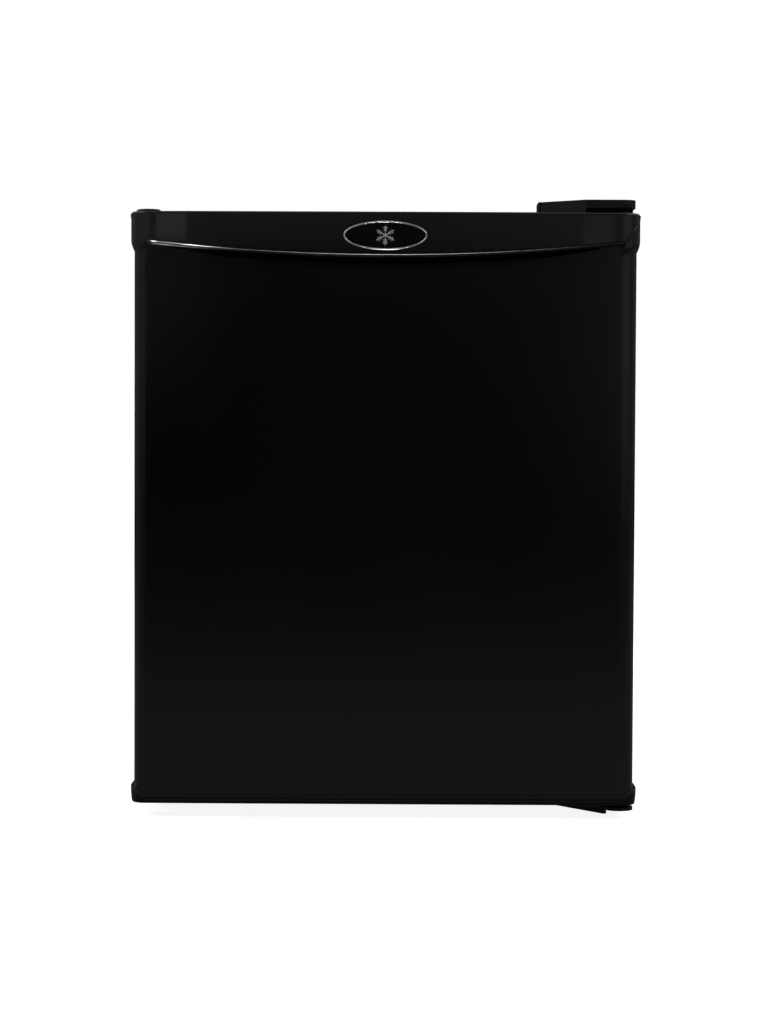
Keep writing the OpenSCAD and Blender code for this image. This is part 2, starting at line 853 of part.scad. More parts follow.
// Steel plate under the cabinet with a diagonal arm, a stiffening flange and a round end
module lower_hinge_bracket() {
    corner = [pin_x - 13, skin_y + 28];
    far = [plate_left + 10, cab_y0 + 30];
    color("#262626") difference() {
        union() {
            block(plate_left + 2, pin_x + 9, cab_y0 + 3, plate_back, lower_plate_z, cab_z0);
            block(pin_x - 12, pin_x + 9, cab_y0 + 3, cab_y0 + 6, lower_arm_z, cab_z0);
            translate([0, 0, lower_arm_z]) linear_extrude(3) {
                translate([pin_x, pin_y]) circle(12.5);
                polygon([
                    corner, [pin_x, pin_y - 12], [pin_x + 9, pin_y - 8],
                    [pin_x + 9, cab_y0 + 6], [far[0] + 6, far[1]], far
                ]);
            }
            translate([0, 0, 2]) linear_extrude(lower_arm_z + 3 - 2)
                polygon([corner, corner + [3, 1.5], far + [3, 1.5], far]);
            block(far[0], far[0] + 8, far[1] - 2, far[1] + 1.5, lower_arm_z, cab_z0);
        }
        for (x = hinge_screw_x) translate([x, hinge_screw_y, 0])
            cylinder(r = screw_r + 0.3, h = cab_z0 + 1);
        for (x = hinge_screw_x) translate([x, hinge_screw_y, 0])
            cylinder(r = 5, h = lower_plate_z);
        translate([pin_x, pin_y, 0]) cylinder(r = pin_r, h = 20);
    }
}

module lower_hinge_pin() {
    color("#3c3c3c") translate([pin_x, pin_y, lower_arm_z])
        cylinder(r = pin_r, h = door_z0 + pin_depth - 4 - lower_arm_z);
}

module lower_hinge_screws() {
    color("silver") for (x = hinge_screw_x) translate([x, hinge_screw_y, 0]) {
        translate([0, 0, lower_plate_z - eps]) cylinder(r = screw_r - eps, h = 10);
        translate([0, 0, lower_plate_z - 2.4]) cylinder(r = 4, h = 2.4);
    }
}

// ---------- Cold parts ----------

// Aluminium evaporator folded into a box, open at the front
module evaporator_box() {
    color("#c9ccd0") difference() {
        block(evap_x0, evap_x1, evap_y0, evap_y1, evap_z0, evap_z1);
        block(evap_x0 + evap_t, evap_x1 - evap_t, evap_y0 - 1, evap_y1 - evap_t,
              evap_z0 + evap_t, evap_z1 - evap_t);
    }
}

// Plastic blocks that hang the evaporator from the ceiling
module evaporator_hangers() {
    color("white") for (x = [evap_x0 + 40, evap_x1 - 40], y = [evap_y0 + 40, evap_y1 - 40])
        translate([x, y, evap_z1]) cylinder(r = 8, h = in_z1 - evap_z1);
}

// White frame round the mouth of the evaporator, with ears for the flap's pins
module freezer_frame() {
    g = 0.2;
    color("white") difference() {
        block(evap_x0 - frame_t, evap_x1 + frame_t, frame_y0, frame_y1,
              evap_z0 - frame_t, evap_z1 + frame_t);
        block(evap_x0 - g, evap_x1 + g, frame_y0 - 1, frame_y1 + 1, evap_z0 - g, evap_z1 + g);
        translate([evap_x0 - frame_t - 1, flap_y, flap_axis_z]) rotate([0, 90, 0])
            cylinder(r = flap_pin_r + 0.08, h = evap_x1 - evap_x0 + 2 * frame_t + 2);
    }
}

// Flap that closes the ice compartment; it hangs from two pins at its top corners
module freezer_flap() {
    x0 = evap_x0 + 1.2;
    x1 = evap_x1 - 1.2;
    z0 = evap_z0 + 2;
    color("#f5f7fa") {
        block(x0, x1, flap_y - flap_t / 2, flap_y + flap_t / 2, z0, flap_axis_z);
        translate([x0 - frame_t, flap_y, flap_axis_z]) rotate([0, 90, 0])
            cylinder(r = flap_pin_r, h = x1 - x0 + 2 * frame_t);
        block((x0 + x1) / 2 - 45, (x0 + x1) / 2 + 45, flap_y - flap_t / 2 - 9, flap_y,
              z0 + 4, z0 + 7);
    }
}

// Drip tray that slides on the ribs below the evaporator
module drip_tray() {
    hw = in_hw - 3;
    body = in_hw - rib_out - 3;
    z = tray_rib_z;
    color("#eef1f4") difference() {
        union() {
            block(-hw, hw, tray_y0, tray_y1, z, z + 2);
            block(-body, body, tray_y0, tray_y1, z - tray_h, z + 2);
            block(-hw, hw, tray_y0, tray_y0 + 2.5, z, z + 6);
        }
        block(-body + 2, body - 2, tray_y0 + 2.5, tray_y1 - 2, z - tray_h + 2, z + 3);
    }
}

// Coated wire shelf: a rod frame, a cross rod and the wires that span it
module wire_shelf() {
    z = shelf_rib_z + shelf_rod_r;
    yc = (shelf_y0 + shelf_y1) / 2;
    span = 2 * (shelf_hw - shelf_rod_r);
    color("#f2f2f2") {
        for (y = [shelf_y0 + shelf_rod_r, yc, shelf_y1 - shelf_rod_r])
            translate([-span / 2, y, z]) rotate([0, 90, 0]) cylinder(r = shelf_rod_r, h = span);
        for (s = [-1, 1]) translate([s * span / 2, shelf_y0 + shelf_rod_r, z]) {
            rotate([-90, 0, 0]) cylinder(r = shelf_rod_r, h = shelf_y1 - shelf_y0 - 2 * shelf_rod_r);
            sphere(shelf_rod_r);
            translate([0, shelf_y1 - shelf_y0 - 2 * shelf_rod_r, 0]) sphere(shelf_rod_r);
        }
        for (i = [0 : shelf_wires - 1])
            translate([-span / 2 + (i + 1) * span / (shelf_wires + 1), shelf_y0 + 1, z + 3.2])
            rotate([-90, 0, 0]) cylinder(r = shelf_wire_r, h = shelf_y1 - shelf_y0 - 2);
    }
}

// Moulded housing of the temperature control, fixed to the right wall
module thermostat_housing() {
    color("white") difference() {
        block(control_x0, in_hw, control_y0, control_y1, control_z0, control_z1);
        block(control_x0 + control_t, in_hw + 1, control_y0 + control_t, control_y1 - control_t,
              control_z0 + control_t, control_z1 - control_t);
        translate([knob_x, control_y0 - 1, knob_z]) rotate([-90, 0, 0])
            cylinder(r = shaft_r + 0.1, h = control_t + 2);
    }
}

// Thermostat switch body inside the housing
module thermostat_switch() {
    y0 = control_y0 + control_t;
    color("#8a8f94") difference() {
        block(knob_x - 16, knob_x + 16, y0, y0 + 30, knob_z - 20, knob_z + 20);
        translate([knob_x, y0 - 1, knob_z]) rotate([-90, 0, 0])
            cylinder(r = shaft_r + 0.1, h = 12);
    }
}

module thermostat_shaft() {
    color("silver") translate([knob_x, control_y0 - knob_h + 4, knob_z]) rotate([-90, 0, 0])
        cylinder(r = shaft_r, h = knob_h - 4 + control_t + 10);
}

// Control knob with a pointer fin
module thermostat_knob() {
    y0 = control_y0 - 0.5 - knob_h;
    color("#f0f0f0") translate([knob_x, y0, knob_z]) rotate([-90, 0, 0]) difference() {
        union() {
            cylinder(r = knob_r, h = knob_h);
            translate([-2, -knob_r + 1, -2]) cube([4, knob_r, 3]);
        }
        translate([0, 0, 4.5]) cylinder(r = shaft_r, h = knob_h);
    }
}

// Sensing tube from the switch to the side of the evaporator
module sensor_tube() {
    y0 = control_y0 + control_t + 30;
    color("#b87333") tube(rounded_route([
        [knob_x - 6, y0, knob_z], [knob_x - 6, y0 + 16, knob_z],
        [control_x0 + control_t + 2, y0 + 26, knob_z + 10],
        [control_x0 + control_t + 2, control_y1 - control_t - 4, knob_z + 10]
    ], 6), capillary_r, [0, 0, 1]);
}

// ---------- Machine compartment ----------

// Compressor mounting points
function stud_points() = [
    for (sx = [-1, 1], sy = [-1, 1]) [comp_x + sx * stud_dx, comp_y + sy * stud_dy]
];

// Hermetic compressor: welded housing, seam flange, feet plate and three pipe stubs
module compressor() {
    r = compressor_r;
    round_r = 26;
    top = comp_z0 + comp_h;
    plate_z = cab_z0 + crossbar_t + grommet_h;
    color("#0e0e0e") difference() {
        union() {
            translate([comp_x, comp_y, 0]) {
                translate([0, 0, comp_z0 + round_r]) cylinder(r = r, h = comp_h - 2 * round_r);
                for (z = [comp_z0 + round_r, top - round_r]) translate([0, 0, z])
                    rotate_extrude() translate([r - round_r, 0]) circle(round_r);
                translate([0, 0, comp_z0]) cylinder(r = r - round_r, h = comp_h);
                translate([0, 0, comp_z0 + comp_h * 0.48]) cylinder(r = r + 4, h = 4);
            }
            block(comp_x - stud_dx - 10, comp_x + stud_dx + 10, comp_y - stud_dy - 10,
                  comp_y + stud_dy + 10, plate_z, plate_z + 3);
            block(comp_x - 24, comp_x + 24, comp_y - 24, comp_y + 24, plate_z, comp_z0 + 4);
            translate([suction_port[0], comp_y, suction_port[2]]) rotate([0, 90, 0])
                cylinder(r = suction_r + 1.2, h = 20);
            translate([discharge_port[0], comp_y + 20, discharge_port[2]]) rotate([-90, 0, 0])
                cylinder(r = tube_r + 1.2, h = discharge_port[1] - comp_y - 20);
            translate([comp_x - 30, comp_y + 20, suction_port[2] + 6]) rotate([-90, 0, 0])
                cylinder(r = 3, h = 44);
        }
        for (p = stud_points()) translate([p[0], p[1], plate_z - 1]) cylinder(r = 4, h = 6);
    }
}

suction_port = [comp_x - compressor_r - 8, comp_y, comp_z0 + 74];
discharge_port = [comp_x + 35, comp_y + 58, comp_z0 + 74];
suction_in = [-95, comp_y - 18, suction_r];
capillary_in = [-118, comp_y - 18, capillary_r];

// Steel bar across the compartment that carries the compressor
module compressor_crossbar() {
    w = cab_hw - sheet;
    y0 = comp_y - 54;
    y1 = comp_y + 54;
    color("#7d8083") {
        block(-w, w, y0, y1, cab_z0, cab_z0 + crossbar_t);
        for (y = [y0, y1 - crossbar_t]) block(-w, w, y, y + crossbar_t, cab_z0, cab_z0 + 10);
    }
}

// Rubber mounts under the compressor feet
module compressor_grommets() {
    color("#1a1a1a") for (p = stud_points())
        translate([p[0], p[1], cab_z0 + crossbar_t]) difference() {
            cylinder(r = 8, h = grommet_h);
            translate([0, 0, -1]) cylinder(r = 3.2, h = grommet_h + 2);
        }
}

// Studs with nuts that hold the compressor down
module compressor_bolts() {
    z0 = cab_z0 + crossbar_t;
    color("silver") for (p = stud_points()) translate([p[0], p[1], z0]) {
        cylinder(r = 3, h = grommet_h + 12);
        translate([0, 0, grommet_h + 3]) cylinder(r = 6, h = 5, $fn = 6);
    }
}

// Cover over the starter and the terminals on the side of the compressor
module starter_cover() {
    x1 = comp_x + compressor_r + 36;
    color("#101010") difference() {
        block(comp_x + 40, x1, comp_y - 24, comp_y + 24, comp_z0 + 24, comp_z0 + 46);
        translate([comp_x, comp_y, 0]) cylinder(r = compressor_r + 0.2, h = 300);
        translate([x1 - 14, comp_y + 12, comp_z0 + 35]) rotate([-90, 0, 0]) cylinder(r = 6, h = 20);
    }
}

// Rubber gland where the mains cord enters the starter cover
module cord_gland() {
    color("#1c1c1c") translate([comp_x + compressor_r + 22, comp_y + 12, comp_z0 + 35])
        rotate([-90, 0, 0]) difference() {
            union() {
                cylinder(r = 6 - eps, h = 12);
                translate([0, 0, 12]) cylinder(r1 = 8, r2 = 6, h = 14);
            }
            translate([0, 0, 2]) cylinder(r = 3.3, h = 30);
        }
}

cond_in_x = cond_hw + 18;

// Hot gas line from the compressor to the top of the condenser
module discharge_tube() {
    p = discharge_port;
    x = cond_hw + 36;
    color("#b06a3a") tube(rounded_route([
        p, [p[0], cond_y, p[2]], [x, cond_y, p[2]], [x, cond_y, cond_z1],
        [cond_in_x, cond_y, cond_z1]
    ], 12), tube_r, [0, 0, 1]);
}

// Cold return line from the cabinet to the compressor
module suction_tube() {
    p = suction_port;
    color("#b06a3a") tube(rounded_route([
        [suction_in[0], suction_in[1], machine_z + sheet], [suction_in[0], suction_in[1], p[2] + 12],
        [suction_in[0] + 34, p[1], p[2]], [p[0], p[1], p[2]]
    ], 14), suction_r, [0, 1, 0]);
}

// Copper filter-drier with tapered ends
module filter_drier() {
    color("#b87333") translate([drier_x, drier_y, drier_z0]) {
        cylinder(r1 = 3, r2 = drier_r, h = 8);
        translate([0, 0, 8]) cylinder(r = drier_r, h = drier_h - 16);
        translate([0, 0, drier_h - 8]) cylinder(r1 = drier_r, r2 = 3, h = 8);
    }
}

// Thin line from the drier into the cabinet wall
module capillary_tube() {
    p = capillary_in;
    color("#b87333") tube(rounded_route([
        [drier_x, drier_y, drier_z0], [drier_x, drier_y, drier_z0 - 16],
        [drier_x + 26, drier_y - 8, drier_z0 - 20], [p[0] + 6, p[1] + 8, drier_z0 + 10],
        [p[0], p[1], drier_z0 + 30], [p[0], p[1], machine_z + sheet]
    ], 7), capillary_r, [1, 0, 0]);
}

// Serpentine of the condenser, run by run, then down to the drier
function serpentine() = [
    [cond_in_x, cond_y, cond_z1],
    for (i = [0 : condenser_runs - 1])
        let (s = i % 2 == 0 ? -1 : 1, z = cond_z1 - i * cond_pitch)
        each i < condenser_runs - 1 ?
            [for (k = [0 : 6])
                let (a = 30 * k)
                [s * (cond_hw + cond_bend * sin(a)), cond_y, z - cond_bend * (1 - cos(a))]] :
            [[s * cond_hw, cond_y, z]]
];

module condenser_tube() {
    z = cond_z1 - (condenser_runs - 1) * cond_pitch;
    x = -cond_hw - 30;
    tail = rounded_route([
        [-cond_hw, cond_y, z], [x, cond_y, z], [x, cond_y, drier_z0 + drier_h + 26],
        [drier_x, drier_y, drier_z0 + drier_h + 16], [drier_x, drier_y, drier_z0 + drier_h]
    ], 10);
    color("#141414") tube(concat(serpentine(), [for (i = [1 : len(tail) - 1]) tail[i]]),
                          tube_r, [0, 1, 0]);
}

// Upright wires welded to both faces of the serpentine
module condenser_wires() {
    z0 = cond_z1 - (condenser_runs - 1) * cond_pitch - 10;
    color("#141414") for (s = [-1, 1], i = [-(wire_count - 1) / 2 : (wire_count - 1) / 2])
        translate([i * wire_step + s * wire_step / 4, cond_y + s * wire_off, z0])
        cylinder(r = wire_r, h = cond_z1 - z0 + 10);
}

function standoff_points() = [
    for (sx = [-1, 1], z = [cond_z1 - cond_pitch / 2, cond_z1 - 6.5 * cond_pitch])
        [sx * (cond_hw - 22), z]
];

// Holes in the rear panel for the condenser screws
module standoff_holes() {
    for (p = standoff_points()) translate([p[0], cab_y1 - 8, p[1]]) rotate([-90, 0, 0])
        cylinder(r = screw_r, h = 10);
}

// Plastic blocks that hold the condenser off the rear panel
module condenser_standoffs() {
    color("#1a1a1a") for (p = standoff_points())
        translate([p[0], cab_y1 + sheet, p[1]]) rotate([-90, 0, 0]) difference() {
            cylinder(r = 7, h = cond_y - wire_off - wire_r - 0.1 - cab_y1 - sheet);
            translate([0, 0, -1]) cylinder(r = screw_r + 0.3, h = 40);
        }
}

module condenser_screws() {
    h = cond_y + wire_off + wire_r + 0.1 - cab_y1;
    color("silver") for (p = standoff_points()) translate([p[0], cab_y1, p[1]])
        rotate([-90, 0, 0]) {
            translate([0, 0, -7]) cylinder(r = screw_r - eps, h = h + 7 + eps);
            translate([0, 0, h]) cylinder(r = 5, h = 2);
        }
}

// Plastic spacers that keep the condenser clear of the room wall
module wall_spacers() {
    color("#1a1a1a") for (s = [-1, 1])
        translate([s * (cab_hw - 14), cab_y1 + sheet, cond_z1 + 14])
        rotate([-90, 0, 0]) cylinder(r = spacer_r, h = rear_d - sheet);
}

// ---------- Feet ----------

// Screw-in levelling foot with a collar that stops under the cabinet; s is its side
module front_foot(s) {
    color("#121212") translate([s * foot_x, foot_y, 0]) {
        cylinder(r = foot_r, h = foot_pad_h);
        cylinder(r = foot_collar_r, h = cab_z0 - 0.1);
        cylinder(r = stud_r, h = stud_h);
    }
}

module left_front_foot() {
    front_foot(-1);
}

module right_front_foot() {
    front_foot(1);
}

// Fixed feet under the ends of the crossbar
module rear_feet() {
    color("#121212") for (s = [-1, 1]) translate([s * (cab_hw - 30), comp_y + 30, 0])
        cylinder(r1 = 11, r2 = 14, h = cab_z0);
}

door_skin();
door_top_cap();
door_bottom_cap();
door_foam();
door_liner();
door_gasket();
gasket_magnets();
upper_door_bin();
lower_door_bin();
upper_hinge_bush();
lower_hinge_bush();
door_hole_plugs();
badge_rim();
badge_face();
cabinet_wrapper();
base_panel();
rear_panel();
compartment_panel();
cabinet_liner();
cabinet_foam();
cabinet_hole_plugs();
upper_hinge_bracket();
upper_hinge_pin();
upper_hinge_cover();
upper_hinge_screws();
lower_hinge_bracket();
lower_hinge_pin();
lower_hinge_screws();
evaporator_box();
evaporator_hangers();
freezer_frame();
freezer_flap();
drip_tray();
wire_shelf();
thermostat_housing();
thermostat_switch();
thermostat_shaft();
thermostat_knob();
sensor_tube();
compressor();
compressor_crossbar();
compressor_grommets();
compressor_bolts();
starter_cover();
cord_gland();
discharge_tube();
suction_tube();
filter_drier();
capillary_tube();
condenser_tube();
condenser_wires();
condenser_standoffs();
condenser_screws();
wall_spacers();
left_front_foot();
right_front_foot();
rear_feet();
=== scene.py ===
"""Looks of a compact black refrigerator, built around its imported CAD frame."""
from math import cos, pi, radians, sin, sqrt

import bmesh
import bpy
from mathutils import Matrix, Vector


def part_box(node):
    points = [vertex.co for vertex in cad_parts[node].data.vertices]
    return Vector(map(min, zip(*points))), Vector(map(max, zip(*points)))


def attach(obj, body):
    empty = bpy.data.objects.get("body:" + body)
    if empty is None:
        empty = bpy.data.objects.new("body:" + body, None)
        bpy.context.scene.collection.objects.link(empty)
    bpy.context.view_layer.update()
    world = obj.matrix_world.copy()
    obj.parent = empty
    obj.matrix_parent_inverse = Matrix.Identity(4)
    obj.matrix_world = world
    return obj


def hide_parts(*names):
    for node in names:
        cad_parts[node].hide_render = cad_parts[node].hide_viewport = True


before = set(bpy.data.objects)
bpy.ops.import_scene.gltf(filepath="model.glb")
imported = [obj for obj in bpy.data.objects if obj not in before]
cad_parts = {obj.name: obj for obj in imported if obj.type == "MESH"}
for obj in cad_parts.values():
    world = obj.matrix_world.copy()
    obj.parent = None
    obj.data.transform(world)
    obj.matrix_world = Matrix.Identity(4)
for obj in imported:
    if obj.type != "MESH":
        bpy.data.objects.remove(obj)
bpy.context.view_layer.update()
SCENE = bpy.context.scene
MM = 0.001


# ---------- Camera ----------

def make_camera():
    """Stands where the photograph was taken from: in front, a little below the top of the door."""
    spot = Vector((0.0165, -2.721, 0.3743))
    yaw, pitch, roll = radians(-0.383), radians(2.387), radians(0.256)
    focal_length, picture_height = 2864.5, 1024
    forward = Vector((sin(yaw) * cos(pitch), cos(yaw) * cos(pitch), -sin(pitch)))
    level = Vector((cos(yaw), -sin(yaw), 0))
    upright = level.cross(forward)
    right = cos(roll) * level + sin(roll) * upright
    up = cos(roll) * upright - sin(roll) * level
    data = bpy.data.cameras.new("camera")
    data.sensor_width = 36
    data.lens = focal_length / picture_height * data.sensor_width
    camera = bpy.data.objects.new("camera", data)
    SCENE.collection.objects.link(camera)
    turned_to = Matrix((right, up, -forward)).transposed().to_4x4()
    camera.matrix_world = Matrix.Translation(spot) @ turned_to
    SCENE.camera = camera


# ---------- Mesh helpers ----------

def link_mesh(name, verts, faces, smooth_angle=35):
    """A mesh from points in millimetres, with outward normals and sharp edges by angle."""
    mesh = bpy.data.meshes.new(name)
    bm = bmesh.new()
    made = [bm.verts.new(Vector(v) * MM) for v in verts]
    for face in faces:
        bm.faces.new([made[i] for i in face])
    bmesh.ops.remove_doubles(bm, verts=bm.verts, dist=1e-6)
    bmesh.ops.recalc_face_normals(bm, faces=bm.faces)
    bm.to_mesh(mesh)
    bm.free()
    mesh.shade_smooth()
    mesh.set_sharp_from_angle(angle=radians(smooth_angle))
    obj = bpy.data.objects.new(name, mesh)
    SCENE.collection.objects.link(obj)
    return obj


def bridge(rings, count, closed=True):
    """Faces between successive rings of count points each; open rings have no face at the seam."""
    faces = []
    for k in range(rings - 1):
        for i in range(count if closed else count - 1):
            a, b = k * count + i, k * count + (i + 1) % count
            faces.append((a, b, b + count, a + count))
    return faces


def end_faces(rings, count):
    """One face over the first ring and one over the last."""
    last = (rings - 1) * count
    return [list(range(count)), list(range(last, last + count))]


def row_face(row, rings, count):
    """One face through the same point of every ring."""
    return [k * count + row for k in range(rings)]


def flatten(rings):
    """The points of all rings in one list."""
    return [point for ring in rings for point in ring]


def lidded(name, rings, smooth_angle):
    """A solid skinned over closed rings, with a flat face at each end."""
    faces = bridge(len(rings), len(rings[0])) + end_faces(len(rings), len(rings[0]))
    return link_mesh(name, flatten(rings), faces, smooth_angle)


def box_mm(name):
    """Low and high corner of a CAD node's box, in millimetres."""
    return [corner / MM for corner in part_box(name)]


# ---------- Materials ----------

GRAIN_HEIGHT = 0.3      # of the grain's size


def node(tree, kind, **values):
    """A shader node with its settings and the constants of its sockets."""
    made = tree.nodes.new(kind)
    for key, value in values.items():
        if hasattr(made, key):
            setattr(made, key, value)
        else:
            made.inputs[key.replace("_", " ")].default_value = value
    return made


def spread(tree, source, low, high):
    """Maps a 0.3 to 0.7 noise value to the range from low to high."""
    made = node(tree, "ShaderNodeMapRange", From_Min=0.3, From_Max=0.7, To_Min=low, To_Max=high)
    tree.links.new(source, made.inputs["Value"])
    return made.outputs["Result"]


def material(name, colour, rough, metallic=0.0, specular=0.5, tone=0.08, rough_spread=0.05,
             grain=0.1, grain_size=0.6, cloud=60.0, transmission=0.0, ior=1.5):
    """A procedural finish: cloudy tone and gloss, cloud millimetres across, and a fine grain."""
    made = bpy.data.materials.new(name)
    made.use_nodes = True
    tree = made.node_tree
    shader = tree.nodes["Principled BSDF"]
    shader.inputs["Metallic"].default_value = metallic
    shader.inputs["Specular IOR Level"].default_value = specular
    shader.inputs["IOR"].default_value = ior
    shader.inputs["Transmission Weight"].default_value = transmission
    where = node(tree, "ShaderNodeTexCoord").outputs["Object"]
    cloudy = node(tree, "ShaderNodeTexNoise", Scale=1000 / cloud, Detail=4.0, Roughness=0.55)
    fine = node(tree, "ShaderNodeTexNoise", Scale=1000 / grain_size, Detail=3.0, Roughness=0.6)
    for texture in (cloudy, fine):
        tree.links.new(where, texture.inputs["Vector"])
    ramp = node(tree, "ShaderNodeValToRGB")
    for stop, at, gain in zip(ramp.color_ramp.elements, (0.3, 0.7), (1 - tone, 1 + tone)):
        stop.position = at
        stop.color = [min(1, c * gain) for c in colour] + [1]
    tree.links.new(cloudy.outputs["Fac"], ramp.inputs["Fac"])
    tree.links.new(ramp.outputs["Color"], shader.inputs["Base Color"])
    gloss = spread(tree, cloudy.outputs["Fac"], max(0.02, rough - rough_spread), rough + rough_spread)
    tree.links.new(gloss, shader.inputs["Roughness"])
    bump = node(tree, "ShaderNodeBump", Strength=grain, Distance=grain_size * MM * GRAIN_HEIGHT)
    tree.links.new(fine.outputs["Fac"], bump.inputs["Height"])
    tree.links.new(bump.outputs["Normal"], shader.inputs["Normal"])
    return made


def grey(value):
    """A neutral colour."""
    return (value, value, value)


# Colour and roughness first; sizes in millimetres
FINISH = {
    "black_steel": material("black_steel", grey(0.0008), 0.165, tone=0.1, rough_spread=0.012,
                            grain=0.03, grain_size=0.5, cloud=160),
    "black_cap": material("black_cap", grey(0.0018), 0.15, tone=0.12, rough_spread=0.02,
                          grain=0.03, grain_size=0.35, cloud=45),
    "cover_black": material("cover_black", grey(0.0025), 0.22, specular=0.36, tone=0.12, grain=0.05,
                            grain_size=0.4, cloud=30),
    "white_plastic": material("white_plastic", (0.80, 0.80, 0.79), 0.32, grain=0.06,
                              grain_size=0.5, tone=0.02, cloud=70),
    "clear_plastic": material("clear_plastic", (0.93, 0.95, 0.96), 0.08, transmission=0.92,
                              rough_spread=0.02, grain=0.03, grain_size=1.0, tone=0.02, ior=1.49),
    "white_liner": material("white_liner", (0.78, 0.785, 0.78), 0.36, rough_spread=0.02,
                            grain=0.05, grain_size=2.0, tone=0.015, cloud=110),
    "foam": material("foam", (0.72, 0.60, 0.33), 0.85, specular=0.2, grain=0.6, grain_size=1.2),
    "seal_grey": material("seal_grey", (0.045, 0.045, 0.05), 0.5, grain=0.15, grain_size=0.5),
    "magnet": material("magnet", (0.05, 0.04, 0.035), 0.7),
    "bright_metal": material("bright_metal", (0.78, 0.78, 0.78), 0.16, metallic=1.0,
                             rough_spread=0.05, grain=0.05, grain_size=0.3, cloud=12),
    "badge_black": material("badge_black", grey(0.001), 0.25, specular=0.12, tone=0.1,
                            rough_spread=0.02, grain=0.02, grain_size=0.3),
    "zinc_steel": material("zinc_steel", (0.55, 0.56, 0.55), 0.32, metallic=1.0,
                           rough_spread=0.1, tone=0.15, cloud=10, grain=0.15, grain_size=0.5),
    "galvanised": material("galvanised", (0.50, 0.51, 0.52), 0.42, metallic=1.0,
                           rough_spread=0.1, tone=0.18, cloud=16, grain=0.1, grain_size=1.0),
    "dark_steel": material("dark_steel", grey(0.02), 0.42, specular=0.4, tone=0.15,
                           rough_spread=0.06, grain=0.15, grain_size=0.6, cloud=35),
    "hinge_black": material("hinge_black", grey(0.005), 0.4, specular=0.3, tone=0.2,
                            rough_spread=0.06, grain=0.12, grain_size=0.5, cloud=25),
    "aluminium": material("aluminium", (0.78, 0.79, 0.80), 0.38, metallic=1.0,
                          rough_spread=0.08, tone=0.06, cloud=40, grain=0.1, grain_size=0.8),
    "white_wire": material("white_wire", (0.76, 0.76, 0.75), 0.26, tone=0.03, grain=0.08),
    "copper": material("copper", (0.72, 0.36, 0.20), 0.3, metallic=1.0, rough_spread=0.12,
                       tone=0.25, cloud=18, grain=0.08),
    "black_rubber": material("black_rubber", grey(0.012), 0.7, specular=0.35, grain=0.3,
                             grain_size=0.5),
    "dark_plastic": material("dark_plastic", grey(0.012), 0.45, grain=0.2, grain_size=0.5),
    "grey_plastic": material("grey_plastic", (0.25, 0.26, 0.27), 0.45, grain=0.15),
}


def dress(obj, slot, body):
    """Gives a new piece its finish and its body."""
    obj.data.materials.clear()
    obj.data.materials.append(FINISH[slot])
    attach(obj, body)
    return obj


# ---------- Door outline ----------

# All in millimetres; HW is a half width.
DOOR_TOP, DOOR_BOTTOM, DOOR_BACK, SKIN_Y = 531.0, 13.0, -183.0, -221.0
SKIN_HW, CAP_HW, EDGE_R, LIP_R = 219.5, 222.5, 12.0, 17.0
LIP_Y, LIP_END_Y, LIP_BOW = -233.8, -230.8, 1.3     # front of the lip, its ends, and its bow
SWEEP_IN, SWEEP_OUT = 172.0, 199.0                  # where the lip's front sweeps back
GRIP_HW, TAPER_HW = 185.0, 135.0                    # finger pocket, and its part of full depth
SKIN_EASE, TOP_R = 0.45, 2.2                        # ease of the skin's edges, round of the lip's top

# Depths below the door's top, in the middle of the door: lower edge of the lip, sill of the finger
# pocket, upper edge of the skin, lower edge of the apron that laps over it.
LIP_DEPTH, SILL_DEPTH, SKIN_DEPTH, APRON_DEPTH = 39.2, 45.0, 45.5, 49.0
LIP_CLIMB, LIP_CLIMB_AT = 10.8, 200.0       # the lip's lower edge climbs this much, this far out
ARC = 15.0                                  # the other edges climb this much at the ends
LIP_LEAN, LEAN_DEPTH = 0.8, 24.0            # the lip's front leans back over this depth
STEEL, RETURN_X = 0.6, 205.5                # thickness of the skin, and where its returns end


def arc_rise(x):
    """How much higher the edges below the lip lie at x than in the middle."""
    return ARC * (abs(x) / CAP_HW) ** 2


def cap_proud(turn):
    """How far the caps stand out from the skin."""
    return 0.7 + 2.3 * turn


def lip_front(x):
    """Front of the lip at x: gently bowed, swept back near its ends, then flat as the corner starts."""
    x = abs(x)
    if x <= SWEEP_IN:
        return LIP_Y + LIP_BOW * (x / SWEEP_IN) ** 2
    share = min(1, (x - SWEEP_IN) / (SWEEP_OUT - SWEEP_IN))
    return LIP_Y + LIP_BOW + (LIP_END_Y - LIP_Y - LIP_BOW) * share


def skin_front(x):
    """Front of the skin at x: foamed flat, and eased back towards the upright edges."""
    return SKIN_Y + SKIN_EASE * min(1, abs(x) / (SKIN_HW - EDGE_R)) ** 6


